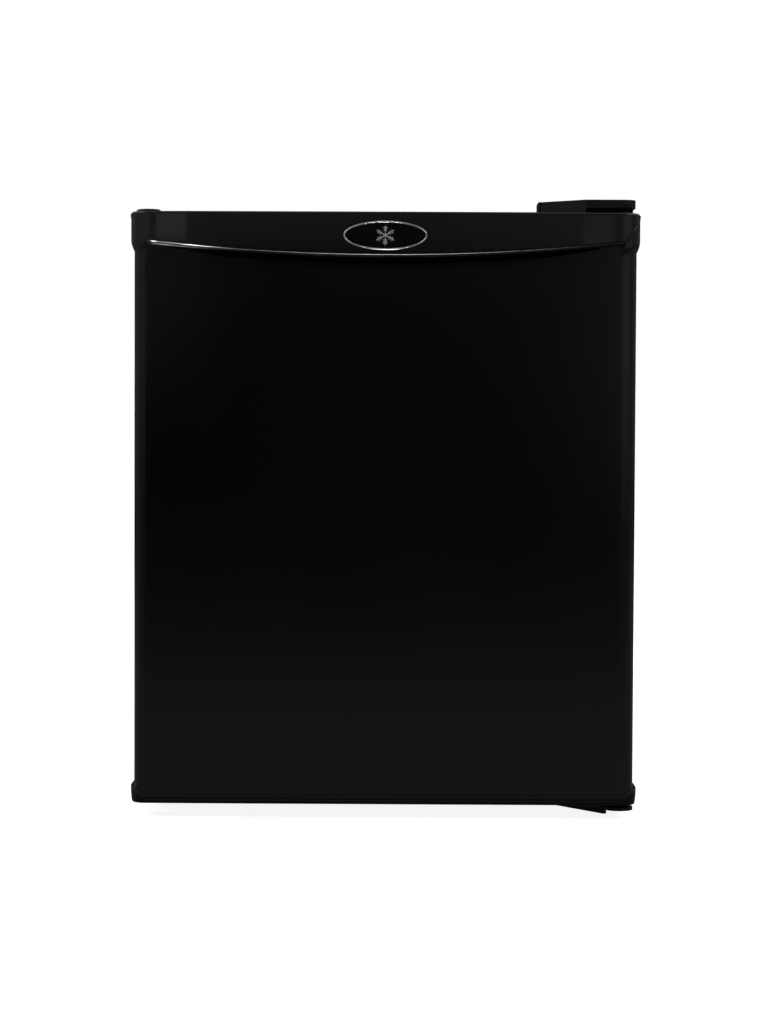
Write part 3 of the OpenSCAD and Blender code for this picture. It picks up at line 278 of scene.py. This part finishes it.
def door_stations():
    """Points round the door from the back left to the back right: lip, skin, outward direction, turn.

    The turn is 0 along the front and grows to 1 at the flanks.
    """
    xe, xs = CAP_HW - LIP_R, SKIN_HW - EDGE_R
    lip_corner, skin_corner = lip_front(xe) + LIP_R, SKIN_Y + SKIN_EASE + EDGE_R
    half = [(CAP_HW, DOOR_BACK, SKIN_HW, DOOR_BACK, 1, 0, 1.0),
            (CAP_HW, -190.0, SKIN_HW, -188.0, 1, 0, 1.0),
            (CAP_HW, -205.0, SKIN_HW, -200.0, 1, 0, 1.0)]
    steps = 14
    for k in range(steps + 1):
        a = pi / 2 * k / steps
        half.append((xe + LIP_R * cos(a), lip_corner - LIP_R * sin(a),
                     xs + EDGE_R * cos(a), skin_corner - EDGE_R * sin(a),
                     cos(a), -sin(a), 1 - k / steps))
    front = [202.0, 199.1, 198.9, 192.0, GRIP_HW, GRIP_HW - 0.001, 179.0, 172.3, 171.7]
    front += [168.0 - 8 * k for k in range(21)]
    for x in front + [0.0]:
        half.append((x, lip_front(x), x * xs / xe, skin_front(x * xs / xe), 0, -1, 0.0))
    left = [(-lx, ly, -sx, sy, -nx, ny, t) for lx, ly, sx, sy, nx, ny, t in half]
    return left[:-1] + half[::-1]


def place(station, toward_lip, out, depth, top=DOOR_TOP):
    """A point between the skin (0) and the lip (1), moved out, at a depth below the top."""
    lx, ly, sx, sy, nx, ny, _ = station
    return (sx + (lx - sx) * toward_lip + nx * out, sy + (ly - sy) * toward_lip + ny * out, top - depth)


def lip_rings(lip_depth, round_r):
    """Top plate, rounded upper edge, front and rounded lower edge of the lip."""
    rings = [(1, -14, 0), (1, -5, 0)]
    for k in range(7):
        a = pi / 2 * k / 6
        drop = TOP_R * (1 - cos(a))
        rings.append((1, TOP_R * (sin(a) - 1) - LIP_LEAN * (1 - drop / LEAN_DEPTH), drop))
    for f in (0.06, 0.3, 0.6, 0.94):
        depth = TOP_R + (lip_depth - round_r - TOP_R) * f
        rings.append((1, -LIP_LEAN * max(0, 1 - depth / LEAN_DEPTH), depth))
    for k in range(6):
        a = pi / 2 * k / 5
        rings.append((1, -round_r + round_r * cos(a), lip_depth - round_r + round_r * sin(a)))
    return rings


def pocket_rings(x, lip_depth, proud):
    """Back of the lip, roof, back and sill of the finger pocket, which closes towards its ends."""
    rise = arc_rise(x)
    shut = max(0, (abs(x) - TAPER_HW) / (GRIP_HW - TAPER_HW)) ** 1.5
    sill_front = (SILL_DEPTH - rise) * (1 - shut) + (lip_depth + 0.8) * shut
    sill_back = 33 - rise - 2 * shut
    back = -9 + 6 * shut
    return [(1, -3, lip_depth), (1, -3, 6), (0, back, 6), (0, back, sill_back), (0, proud, sill_front)]


def filled_rings(gap, lip_depth, round_r, proud, apron_top, turn):
    """Underside of the lip where there is no pocket behind it."""
    run = gap - proud - round_r
    start = min(0.2, (3 - round_r) / run) if run > 0 else 0
    rings = []
    for f in (start, 0.4, 0.7, 1):
        share = (round_r + run * f) / gap
        rings.append(("mix", f, lip_depth) if turn else (1 - share, 0, lip_depth))
    return rings + [(0, proud, apron_top)]


def apron_rings(top, end, proud, turn):
    """Apron over the skin: upright along the front, and drawn in towards the skin at the corners."""
    if turn:
        return [(0, 0.3 + (proud - 0.3) * (1 - f ** 1.6), top + (end - top) * f)
                for f in (0.25, 0.5, 0.75)]
    rings, depth = [], top
    for f in (0.1, 0.5, 1):
        depth += (end - depth) * f
        rings.append((0, proud - 0.1 * f, depth))
    return rings


def top_cap_column(station):
    """Section of the top cap: top plate, lip, finger pocket, apron and the hidden inside."""
    lx, ly, sx, sy, _, _, turn = station
    gap = sqrt((lx - sx) ** 2 + (ly - sy) ** 2)
    proud, rise = cap_proud(turn), arc_rise(lx)
    if turn:
        lip_depth = max(3.3, 28 - 24.7 * turn ** 1.1)
        apron_top = 25 + 6 * (1 - turn)
        step_depth = max(lip_depth + 0.2, apron_top)
    else:
        lip_depth = LIP_DEPTH - LIP_CLIMB * (lx / LIP_CLIMB_AT) ** 2
        apron_top = step_depth = max(SILL_DEPTH - rise, lip_depth)
    round_r = min(2.8, max(0.0, (gap - proud) / 2))
    rings = lip_rings(lip_depth, round_r)
    inside = 0
    if abs(lx) < GRIP_HW:
        rings += pocket_rings(lx, lip_depth, proud)
        apron_top = rings[-1][2]
        inside = -12
    else:
        rings += filled_rings(gap, lip_depth, round_r, proud, step_depth, turn)
    apron_end = APRON_DEPTH - rise
    rings += apron_rings(apron_top, apron_end, proud, turn)
    rings += [(0, 0.3, apron_end), (0, -0.3, apron_end), (0, -0.7, apron_end - 2)]
    rings += [(0, inside - 0.7, max(4, 36.5 - rise)), (0, inside - 0.7, 3)]
    points = []
    for toward, out, depth in rings:
        if toward == "mix":
            outer = Vector(place(station, 1, -round_r, depth))
            inner = Vector(place(station, 0, proud, depth))
            points.append(tuple(outer.lerp(inner, out)))
        else:
            points.append(place(station, toward, out, depth))
    return points


def make_top_cap():
    """Moulded cap with the handle lip, closed flat along its top, its inside and its back."""
    columns = [top_cap_column(s) for s in door_stations()]
    wide, tall = len(columns), len(columns[0])
    last = (wide - 1) * tall
    faces = bridge(wide, tall, closed=False)
    faces += [row_face(0, wide, tall), row_face(tall - 1, wide, tall)]
    faces.append(list(range(tall)) + list(range(last + tall - 1, last - 1, -1)))
    cap = link_mesh("top_cap", flatten(columns), faces)
    dress(cap, "black_cap", "door")
    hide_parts("door_top_cap")


def make_skin():
    """Painted steel front wrapped round the upright edges, with short returns behind."""
    stations = door_stations()
    outer = [(s[2], s[3]) for s in stations]
    inner = [(s[2] - STEEL * s[4], min(s[3] - STEEL * s[5], DOOR_BACK - STEEL)) for s in stations]
    depths = [SKIN_DEPTH - arc_rise(s[2]) for s in stations]
    outer = [(-RETURN_X, DOOR_BACK)] + outer + [(RETURN_X, DOOR_BACK)]
    inner = [(-RETURN_X, DOOR_BACK - STEEL)] + inner + [(RETURN_X, DOOR_BACK - STEEL)]
    depths = depths[:1] + depths + depths[-1:]
    columns = []
    for (ox, oy), (ix, iy), depth in zip(outer, inner, depths):
        z1, z0 = DOOR_TOP - depth, DOOR_BOTTOM + 3
        levels = [z1 + (z0 - z1) * f for f in (0, 0.02, 0.5, 0.98, 1)]
        columns.append([(ox, oy, z) for z in levels] + [(ix, iy, z) for z in reversed(levels)])
    wide, tall = len(columns), len(columns[0])
    faces = bridge(wide, tall)
    for base in (0, (wide - 1) * tall):
        for j in range(tall // 2 - 1):
            faces.append((base + j, base + j + 1, base + tall - 2 - j, base + tall - 1 - j))
    skin = link_mesh("skin", flatten(columns), faces)
    dress(skin, "black_steel", "door")
    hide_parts("door_skin")


def bottom_cap_column(station):
    """Section of the bottom cap, from its upper edge round to the underside and back inside."""
    turn = station[6]
    height = 9 + 6.4 * max(0, min(1, (turn - 0.25) / 0.75)) ** 0.7
    proud = cap_proud(turn)
    tuck = 2.4 - 1.4 * turn
    rings = [(0, -0.8, height), (0, 0, height), (0, proud - 0.5, height),
             (0, proud - 0.15, height - 0.15), (0, proud, height - 0.5)]
    for k in range(1, 8):
        share = k / 7
        rings.append((0, proud - tuck * share ** 2.6, height - 0.5 - (height - 1.7) * share))
    rings += [(0, proud - tuck - 0.5, 0.4), (0, proud - tuck - 1.2, 0)]
    rings += [(0, -12, 0), (0, -12, 3), (0, -0.8, 3)]
    return [place(station, toward, out, -depth, DOOR_BOTTOM) for toward, out, depth in rings]


def make_bottom_cap():
    """Moulded cap along the door's lower edge, with a plate across its inside."""
    columns = [bottom_cap_column(s) for s in door_stations()]
    wide, tall = len(columns), len(columns[0])
    faces = bridge(wide, tall) + end_faces(wide, tall)
    faces += [row_face(row, wide, tall) for row in (tall - 3, tall - 2)]
    cap = link_mesh("bottom_cap", flatten(columns), faces)
    dress(cap, "black_cap", "door")
    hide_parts("door_bottom_cap")


def make_cap_flange():
    """Rear edge of the top cap, which the door liner's rim lies in."""
    x_out, x_in, top, under, foot = 219.7, 210.0, 528.3, 520.0, 500.5
    outline = [(-x_out, foot), (-x_out, top), (x_out, top), (x_out, foot),
               (x_in, foot), (x_in, under), (-x_in, under), (-x_in, foot)]
    rings = [[(x, y, z) for x, z in outline] for y in (DOOR_BACK - 0.5, DOOR_BACK + 0.4)]
    flange = lidded("cap_flange", rings, 35)
    dress(flange, "black_cap", "door")


# ---------- Temperature knob ----------

def make_knob():
    """Fluted knob, dished in front; it turns about its shaft, which runs from front to back."""
    lo, hi = box_mm("thermostat_knob")
    shaft_lo, shaft_hi = box_mm("thermostat_shaft")
    x0, z0 = (shaft_lo.x + shaft_hi.x) / 2, (shaft_lo.z + shaft_hi.z) / 2
    radius, front, back = (hi.z - lo.z) / 2, lo.y, hi.y
    count, flutes, cut, shaft_r = 144, 24, 0.55, 3.2
    profile = [(shaft_r, 0, back), (radius * 0.97, 0, back), (radius, 0, back - 1.2),
               (radius, 0, back - 3.0), (radius * 0.93, cut, back - 3.6),
               (radius * 0.88, cut, front + 2.0), (radius * 0.84, cut, front + 0.9),
               (radius * 0.78, 0, front + 0.3), (radius * 0.70, 0, front + 0.1),
               (radius * 0.35, 0, front + 0.9)]
    rings = []
    for size, flute, y in profile:
        ring = []
        for i in range(count):
            a = 2 * pi * i / count
            r = size - flute * (0.5 - 0.5 * cos(flutes * a))
            ring.append((x0 + r * sin(a), y, z0 + r * cos(a)))
        rings.append(ring)
    knob = lidded("knob", rings, 40)
    dress(knob, "white_plastic", "temperature_knob")
    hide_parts("thermostat_knob")
    make_pointer(x0, z0, front, radius)


def make_pointer(x0, z0, front, radius):
    """Pointer bar across the knob's dish, with chamfered ends and a narrower crest."""
    inner, outer, broad, narrow = -0.30 * radius, 0.74 * radius, 1.5, 1.0
    outline = [(-broad, inner + 0.8), (-broad + 0.8, inner), (broad - 0.8, inner), (broad, inner + 0.8),
               (narrow, outer - 0.6), (narrow - 0.6, outer), (-narrow + 0.6, outer), (-narrow, outer - 0.6)]
    rings = [[(x0 + x * scale, y, z0 + z) for x, z in outline]
             for y, scale in ((front + 1.4, 1.0), (front + 0.25, 1.0), (front, 0.7))]
    pointer = lidded("knob_pointer", rings, 50)
    dress(pointer, "grey_plastic", "temperature_knob")


# ---------- Badge and hole plugs ----------

def oval(half_w, half_h, middle, y, count=96):
    """Points round an upright ellipse in the middle of the door."""
    return [(half_w * cos(2 * pi * i / count), y, middle + half_h * sin(2 * pi * i / count))
            for i in range(count)]


def snowflake_parts(size):
    """Bars of a plain six-armed snowflake of radius size: start, end, half width."""
    bars = []
    for arm in range(6):
        along = Vector((cos(pi / 3 * arm + pi / 6), sin(pi / 3 * arm + pi / 6)))
        bars.append((Vector((0, 0)), along * size, size * 0.055))
        for side in (-1, 1):
            branch = Vector((cos(pi / 3 * (arm + side) + pi / 6), sin(pi / 3 * (arm + side) + pi / 6)))
            for at, reach in ((0.42, 0.22), (0.66, 0.26)):
                bars.append((along * size * at, along * size * at + branch * size * reach, size * 0.045))
    return bars


def make_snowflake(middle, front):
    """Raised snowflake of bevelled bars on the badge's plate."""
    verts, faces = [], []
    for start, end, half in snowflake_parts(8.6):
        along = (end - start).normalized()
        across = Vector((-along.y, along.x)) * half
        base = len(verts)
        for y, scale in ((front + 0.7, 1.0), (front + 0.32, 1.0), (front + 0.2, 0.6)):
            for point, sign in ((start, 1), (end, 1), (end, -1), (start, -1)):
                corner = point + across * sign * scale
                verts.append((corner.x, y, middle + corner.y))
        faces += [[base + i for i in face] for face in end_faces(3, 4) + bridge(3, 4)]
    flake = link_mesh("badge_snowflake", verts, faces, 30)
    dress(flake, "bright_metal", "door")


def make_badge():
    """Oval badge: a bright rounded rim round a black plate with a plain snowflake."""
    lo, hi = box_mm("badge_rim")
    half_w, half_h, middle = (hi.x - lo.x) / 2, (hi.z - lo.z) / 2, (hi.z + lo.z) / 2
    front, back = lo.y, hi.y
    rim_section = [(0, back), (0, front + 0.7), (0.25, front + 0.2), (0.7, front), (1.2, front + 0.05),
                   (1.6, front + 0.3), (1.8, front + 0.8), (1.8, back), (0, back)]
    plate_section = [(1.85, back), (1.85, front + 0.75), (3.5, front + 0.62), (7.0, front + 0.55)]
    rim_rings, plate_rings = ([oval(half_w - inset, half_h - inset, middle, y) for inset, y in section]
                              for section in (rim_section, plate_section))
    rim = link_mesh("badge_ring", flatten(rim_rings), bridge(len(rim_rings), len(rim_rings[0])), 50)
    dress(rim, "bright_metal", "door")
    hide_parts("badge_rim")
    plate = lidded("badge_plate", plate_rings, 50)
    dress(plate, "badge_black", "door")
    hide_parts("badge_face")
    make_snowflake(middle, front)


def turned(name, centre, profile, count=48):
    """A solid of revolution about a vertical axis, from (radius, height) points."""
    rings = [[(centre[0] + radius * cos(2 * pi * i / count), centre[1] + radius * sin(2 * pi * i / count),
               height) for i in range(count)] for radius, height in profile]
    return lidded(name, rings, 40)


def make_plugs():
    """Domed plug over the unused upper hinge hole, and a flat one under the door."""
    lo, hi = box_mm("door_hole_plugs")
    centre, radius = ((lo.x + hi.x) / 2, (lo.y + hi.y) / 2), (hi.x - lo.x) / 2
    rise = hi.z - DOOR_TOP
    stem_r, stem = 5.8, 12
    seat, low = DOOR_TOP + 0.05, DOOR_BOTTOM - 0.05
    dome = [(stem_r, DOOR_TOP - stem), (stem_r, seat), (radius - 0.2, seat)]
    for k in range(9):
        a = pi / 2 * k / 8
        dome.append((radius - 2.2 * (1 - cos(a)), DOOR_TOP + 0.3 + (rise - 0.6) * sin(a)))
    dome += [(radius * 0.55, DOOR_TOP + rise - 0.1), (radius * 0.2, DOOR_TOP + rise)]
    upper = turned("hole_plug_top", centre, dome)
    lower = turned("hole_plug_bottom", centre, [(stem_r, DOOR_BOTTOM + stem), (stem_r, low), (8.8, low),
                                                (9.0, low - 0.3), (8.6, lo.z)])
    for plug in (upper, lower):
        dress(plug, "badge_black", "door")
        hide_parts("door_hole_plugs")


# ---------- Carried-over CAD nodes ----------

# Finish of each CAD node that still shows
NODE_SLOTS = {
    "door_foam": "foam", "door_liner": "white_liner", "door_gasket": "seal_grey",
    "gasket_magnets": "magnet", "upper_door_bin": "clear_plastic",
    "lower_door_bin": "clear_plastic", "upper_hinge_bush": "hinge_black", "lower_hinge_bush": "hinge_black",
    "cabinet_wrapper": "black_steel", "base_panel": "black_steel", "rear_panel": "dark_steel",
    "compartment_panel": "galvanised", "cabinet_liner": "white_liner", "cabinet_foam": "foam",
    "cabinet_hole_plugs": "dark_plastic", "upper_hinge_bracket": "hinge_black",
    "upper_hinge_pin": "dark_steel", "upper_hinge_cover": "cover_black",
    "upper_hinge_screws": "zinc_steel", "lower_hinge_bracket": "hinge_black",
    "lower_hinge_pin": "dark_steel", "lower_hinge_screws": "zinc_steel",
    "evaporator_box": "aluminium", "evaporator_hangers": "white_plastic",
    "freezer_frame": "white_plastic", "freezer_flap": "clear_plastic",
    "drip_tray": "clear_plastic", "wire_shelf": "white_wire",
    "thermostat_housing": "white_plastic", "thermostat_switch": "grey_plastic",
    "thermostat_shaft": "zinc_steel",
    "sensor_tube": "copper", "compressor": "dark_steel", "compressor_crossbar": "galvanised",
    "compressor_grommets": "black_rubber", "compressor_bolts": "zinc_steel",
    "starter_cover": "dark_plastic", "cord_gland": "black_rubber", "discharge_tube": "copper",
    "suction_tube": "copper", "filter_drier": "copper", "capillary_tube": "copper",
    "condenser_tube": "dark_steel", "condenser_wires": "dark_steel",
    "condenser_standoffs": "dark_plastic", "condenser_screws": "zinc_steel",
    "wall_spacers": "dark_plastic", "left_front_foot": "dark_plastic",
    "right_front_foot": "dark_plastic", "rear_feet": "dark_plastic",
}


def dress_nodes():
    """Finishes the CAD nodes that still show, and softens their edges."""
    for name, slot in NODE_SLOTS.items():
        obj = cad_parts[name]
        if obj.hide_render:
            continue
        obj.data.materials.clear()
        obj.data.materials.append(FINISH[slot])
        weld = obj.modifiers.new("weld", "WELD")
        weld.merge_threshold = 1e-5
        flat = obj.modifiers.new("flat", "DECIMATE")
        flat.decimate_type = "DISSOLVE"
        flat.angle_limit = radians(1)
        bevel = obj.modifiers.new("bevel", "BEVEL")
        bevel.width = 0.5 * MM
        bevel.segments = 2
        bevel.limit_method = "ANGLE"
        bevel.angle_limit = radians(40)
        bevel.harden_normals = True


# ---------- Stage ----------

def maths(tree, operation, *values):
    """A maths node; each value is a number or a socket."""
    made = tree.nodes.new("ShaderNodeMath")
    made.operation = operation
    for socket, value in zip(made.inputs, values):
        if isinstance(value, (int, float)):
            socket.default_value = value
        else:
            tree.links.new(value, socket)
    return made.outputs[0]


def step(tree, value, edge, soft):
    """Rises smoothly from 0 to 1 as value passes edge."""
    made = node(tree, "ShaderNodeMapRange", interpolation_type="SMOOTHSTEP",
                From_Min=edge - soft, From_Max=edge + soft)
    tree.links.new(value, made.inputs["Value"])
    return made.outputs["Result"]


def band(tree, value, low, high, soft):
    """1 between low and high, 0 outside, with soft edges."""
    above = step(tree, value, low, soft)
    below = maths(tree, "SUBTRACT", 1.0, step(tree, value, high, soft))
    return maths(tree, "MULTIPLY", above, below)


# Studio panels seen from the refrigerator, in degrees round from the front (right is positive)
# and up from level: left edge, right edge, bottom, top, softness round, softness up, brightness.
PANELS = [
    (-30, 30, 5, 28, 6, 4.5, 0.12),
    (-15, -10, 4.5, 14, 0.4, 1.5, 0.40),
    (7.5, 24, -1, 14, 4, 3, 0.12),
    (5.6, 24, -1.5, 4.0, 2.6, 2.0, 0.27),
    (-135, -20, -12, 16, 9, 8, 0.21),
    (22, 56, -6, 16, 10, 6, 0.30),
    (48, 135, -12, 16, 9, 8, 0.17),
    (-95, -38, 26, 62, 6, 5, 1.3),
    (38, 95, 26, 62, 6, 5, 1.3),
    (-160, -110, 20, 60, 8, 6, 1.0),
    (110, 160, 20, 60, 8, 6, 1.0),
    (-400, 400, 64, 95, 1, 8, 0.6),
    (-400, -150, 2, 30, 8, 6, 0.05),
    (150, 400, 2, 30, 8, 6, 0.05),
]
DARK = 0.004


def make_world():
    """White where the camera sees it; for light and reflections, a dark studio with soft panels."""
    world = bpy.data.worlds.new("studio")
    SCENE.world = world
    world.use_nodes = True
    tree = world.node_tree
    tree.nodes.clear()
    xyz = tree.nodes.new("ShaderNodeSeparateXYZ")
    tree.links.new(tree.nodes.new("ShaderNodeTexCoord").outputs["Generated"], xyz.inputs[0])
    back = maths(tree, "MULTIPLY", xyz.outputs["Y"], -1.0)
    round_angle = maths(tree, "DEGREES", maths(tree, "ARCTAN2", xyz.outputs["X"], back))
    up_angle = maths(tree, "DEGREES", maths(tree, "ARCSINE", xyz.outputs["Z"]))
    glow = None
    for left, right, low, high, soft_round, soft_up, bright in PANELS:
        across = band(tree, round_angle, left, right, soft_round)
        along = band(tree, up_angle, low, high, soft_up)
        panel = maths(tree, "MULTIPLY", maths(tree, "MULTIPLY", across, along), float(bright))
        glow = panel if glow is None else maths(tree, "ADD", glow, panel)
    glow = maths(tree, "ADD", glow, DARK)
    path = tree.nodes.new("ShaderNodeLightPath")
    fill = node(tree, "ShaderNodeBackground", Color=(1, 1, 1, 1))
    tree.links.new(glow, fill.inputs["Strength"])
    seen = node(tree, "ShaderNodeBackground", Color=(1, 1, 1, 1), Strength=1.0)
    mix = tree.nodes.new("ShaderNodeMixShader")
    out = tree.nodes.new("ShaderNodeOutputWorld")
    tree.links.new(path.outputs["Is Camera Ray"], mix.inputs["Fac"])
    tree.links.new(fill.outputs[0], mix.inputs[1])
    tree.links.new(seen.outputs[0], mix.inputs[2])
    tree.links.new(mix.outputs[0], out.inputs["Surface"])


# What the floor gives off in reflections at a distance from the footprint: metres, brightness. This glow is
# painted light: it is darker at the footprint as a painted shadow under the refrigerator, and fades with
# distance as painted falloff of the studio light.
FLOOR_GLOW = [(0.0, 0.06), (0.03, 0.10), (0.06, 0.17), (0.8, 0.16), (1.5, 0.10), (2.4, 0.045),
              (3.2, 0.015), (4.0, 0.0)]
FLOOR_REACH = 4.0
FOOTPRINT = (("X", 0.22), ("Y", 0.235))     # half its width and depth, in metres
SIDE_STRETCH = 0.3                          # the glow fades this much more slowly sideways


def floor_glow(tree):
    """What the floor gives off in reflections: a dim painted glow, darkened by a painted shadow at the
    footprint and fading away from the refrigerator.
    """
    xyz = tree.nodes.new("ShaderNodeSeparateXYZ")
    tree.links.new(tree.nodes.new("ShaderNodeTexCoord").outputs["Object"], xyz.inputs[0])
    away = [maths(tree, "SUBTRACT", maths(tree, "ABSOLUTE", xyz.outputs[axis]), half_size)
            for axis, half_size in FOOTPRINT]
    away[0] = maths(tree, "MULTIPLY", away[0], SIDE_STRETCH)
    reach = maths(tree, "DIVIDE", maths(tree, "MAXIMUM", *away), FLOOR_REACH)
    ramp = node(tree, "ShaderNodeValToRGB")
    tree.links.new(reach, ramp.inputs["Fac"])
    stops = ramp.color_ramp.elements
    stops[1].position = 1.0
    stops[1].color = (0, 0, 0, 1)
    stops[0].color = [FLOOR_GLOW[0][1]] * 3 + [1]
    for distance, bright in FLOOR_GLOW[1:]:
        stops.new(distance / FLOOR_REACH).color = [bright] * 3 + [1]
    # Painted light: this emission stands in for the lit floor seen in reflections, with painted shade near
    # the footprint
    dim = node(tree, "ShaderNodeEmission", Strength=1.0)
    tree.links.new(ramp.outputs["Color"], dim.inputs["Color"])
    return dim


def make_floor():
    """A pale floor: near white in the picture, with a soft shadow, and in reflections a dim painted glow
    with a painted shadow at the footprint.
    """
    half, level = 9000, -0.05
    corners = [(-half, -half, level), (half, -half, level), (half, half, level), (-half, half, level)]
    floor = link_mesh("floor", corners, [(0, 1, 2, 3)])
    made = bpy.data.materials.new("floor")
    made.use_nodes = True
    tree = made.node_tree
    tree.nodes.clear()
    # Painted glow and painted shadow of the floor, for reflection rays only
    dim = floor_glow(tree)
    lit = node(tree, "ShaderNodeBsdfDiffuse", Color=(0.24, 0.24, 0.24, 1))
    white = node(tree, "ShaderNodeEmission", Color=(1, 1, 1, 1), Strength=0.90)
    seen = tree.nodes.new("ShaderNodeAddShader")
    tree.links.new(lit.outputs[0], seen.inputs[0])
    tree.links.new(white.outputs[0], seen.inputs[1])
    path = tree.nodes.new("ShaderNodeLightPath")
    mix = tree.nodes.new("ShaderNodeMixShader")
    out = tree.nodes.new("ShaderNodeOutputMaterial")
    tree.links.new(path.outputs["Is Camera Ray"], mix.inputs["Fac"])
    tree.links.new(dim.outputs[0], mix.inputs[1])
    tree.links.new(seen.outputs[0], mix.inputs[2])
    tree.links.new(mix.outputs[0], out.inputs["Surface"])
    floor.data.materials.append(made)


# Lamps, in metres and watts: name, aim, offset from it, width, height, power, spread, in reflections
LAMPS = [
    ("lip_left", (-0.205, -0.234, 0.502), (-0.10, -0.60, -0.40), 0.06, 0.16, 0.075, 14, True),
    ("lip_strip", (-0.02, -0.234, 0.490), (0.0, -0.27, -0.19), 0.42, 0.05, 0.014, 12, True),
    ("key_left", (0, 0, 0.3), (-1.6, -1.2, 1.6), 1.6, 1.6, 75, 180, False),
    ("key_right", (0, 0, 0.3), (1.6, -1.2, 1.6), 1.6, 1.6, 60, 180, False),
    ("fill_back", (0, 0, 0.3), (0.3, 2.0, 1.3), 1.8, 1.4, 70, 180, False),
]


def make_lights():
    """Gridded lamps low in front, which the lower edge of the handle lip catches, and soft keys."""
    for name, aim, offset, width, height, watts, spread, mirrored in LAMPS:
        data = bpy.data.lights.new(name, "AREA")
        data.shape = "RECTANGLE"
        data.size, data.size_y = width, height
        data.energy = watts
        data.spread = radians(spread)
        light = bpy.data.objects.new(name, data)
        SCENE.collection.objects.link(light)
        light.location = Vector(aim) + Vector(offset)
        light.rotation_mode = "QUATERNION"
        light.rotation_quaternion = Vector(offset).to_track_quat("Z", "Y")
        light.visible_camera = False
        light.visible_glossy = mirrored


make_camera()
make_world()
make_floor()
make_lights()
make_top_cap()
make_skin()
make_bottom_cap()
make_cap_flange()
make_knob()
make_badge()
make_plugs()
dress_nodes()
SCENE.view_settings.view_transform = "Standard"
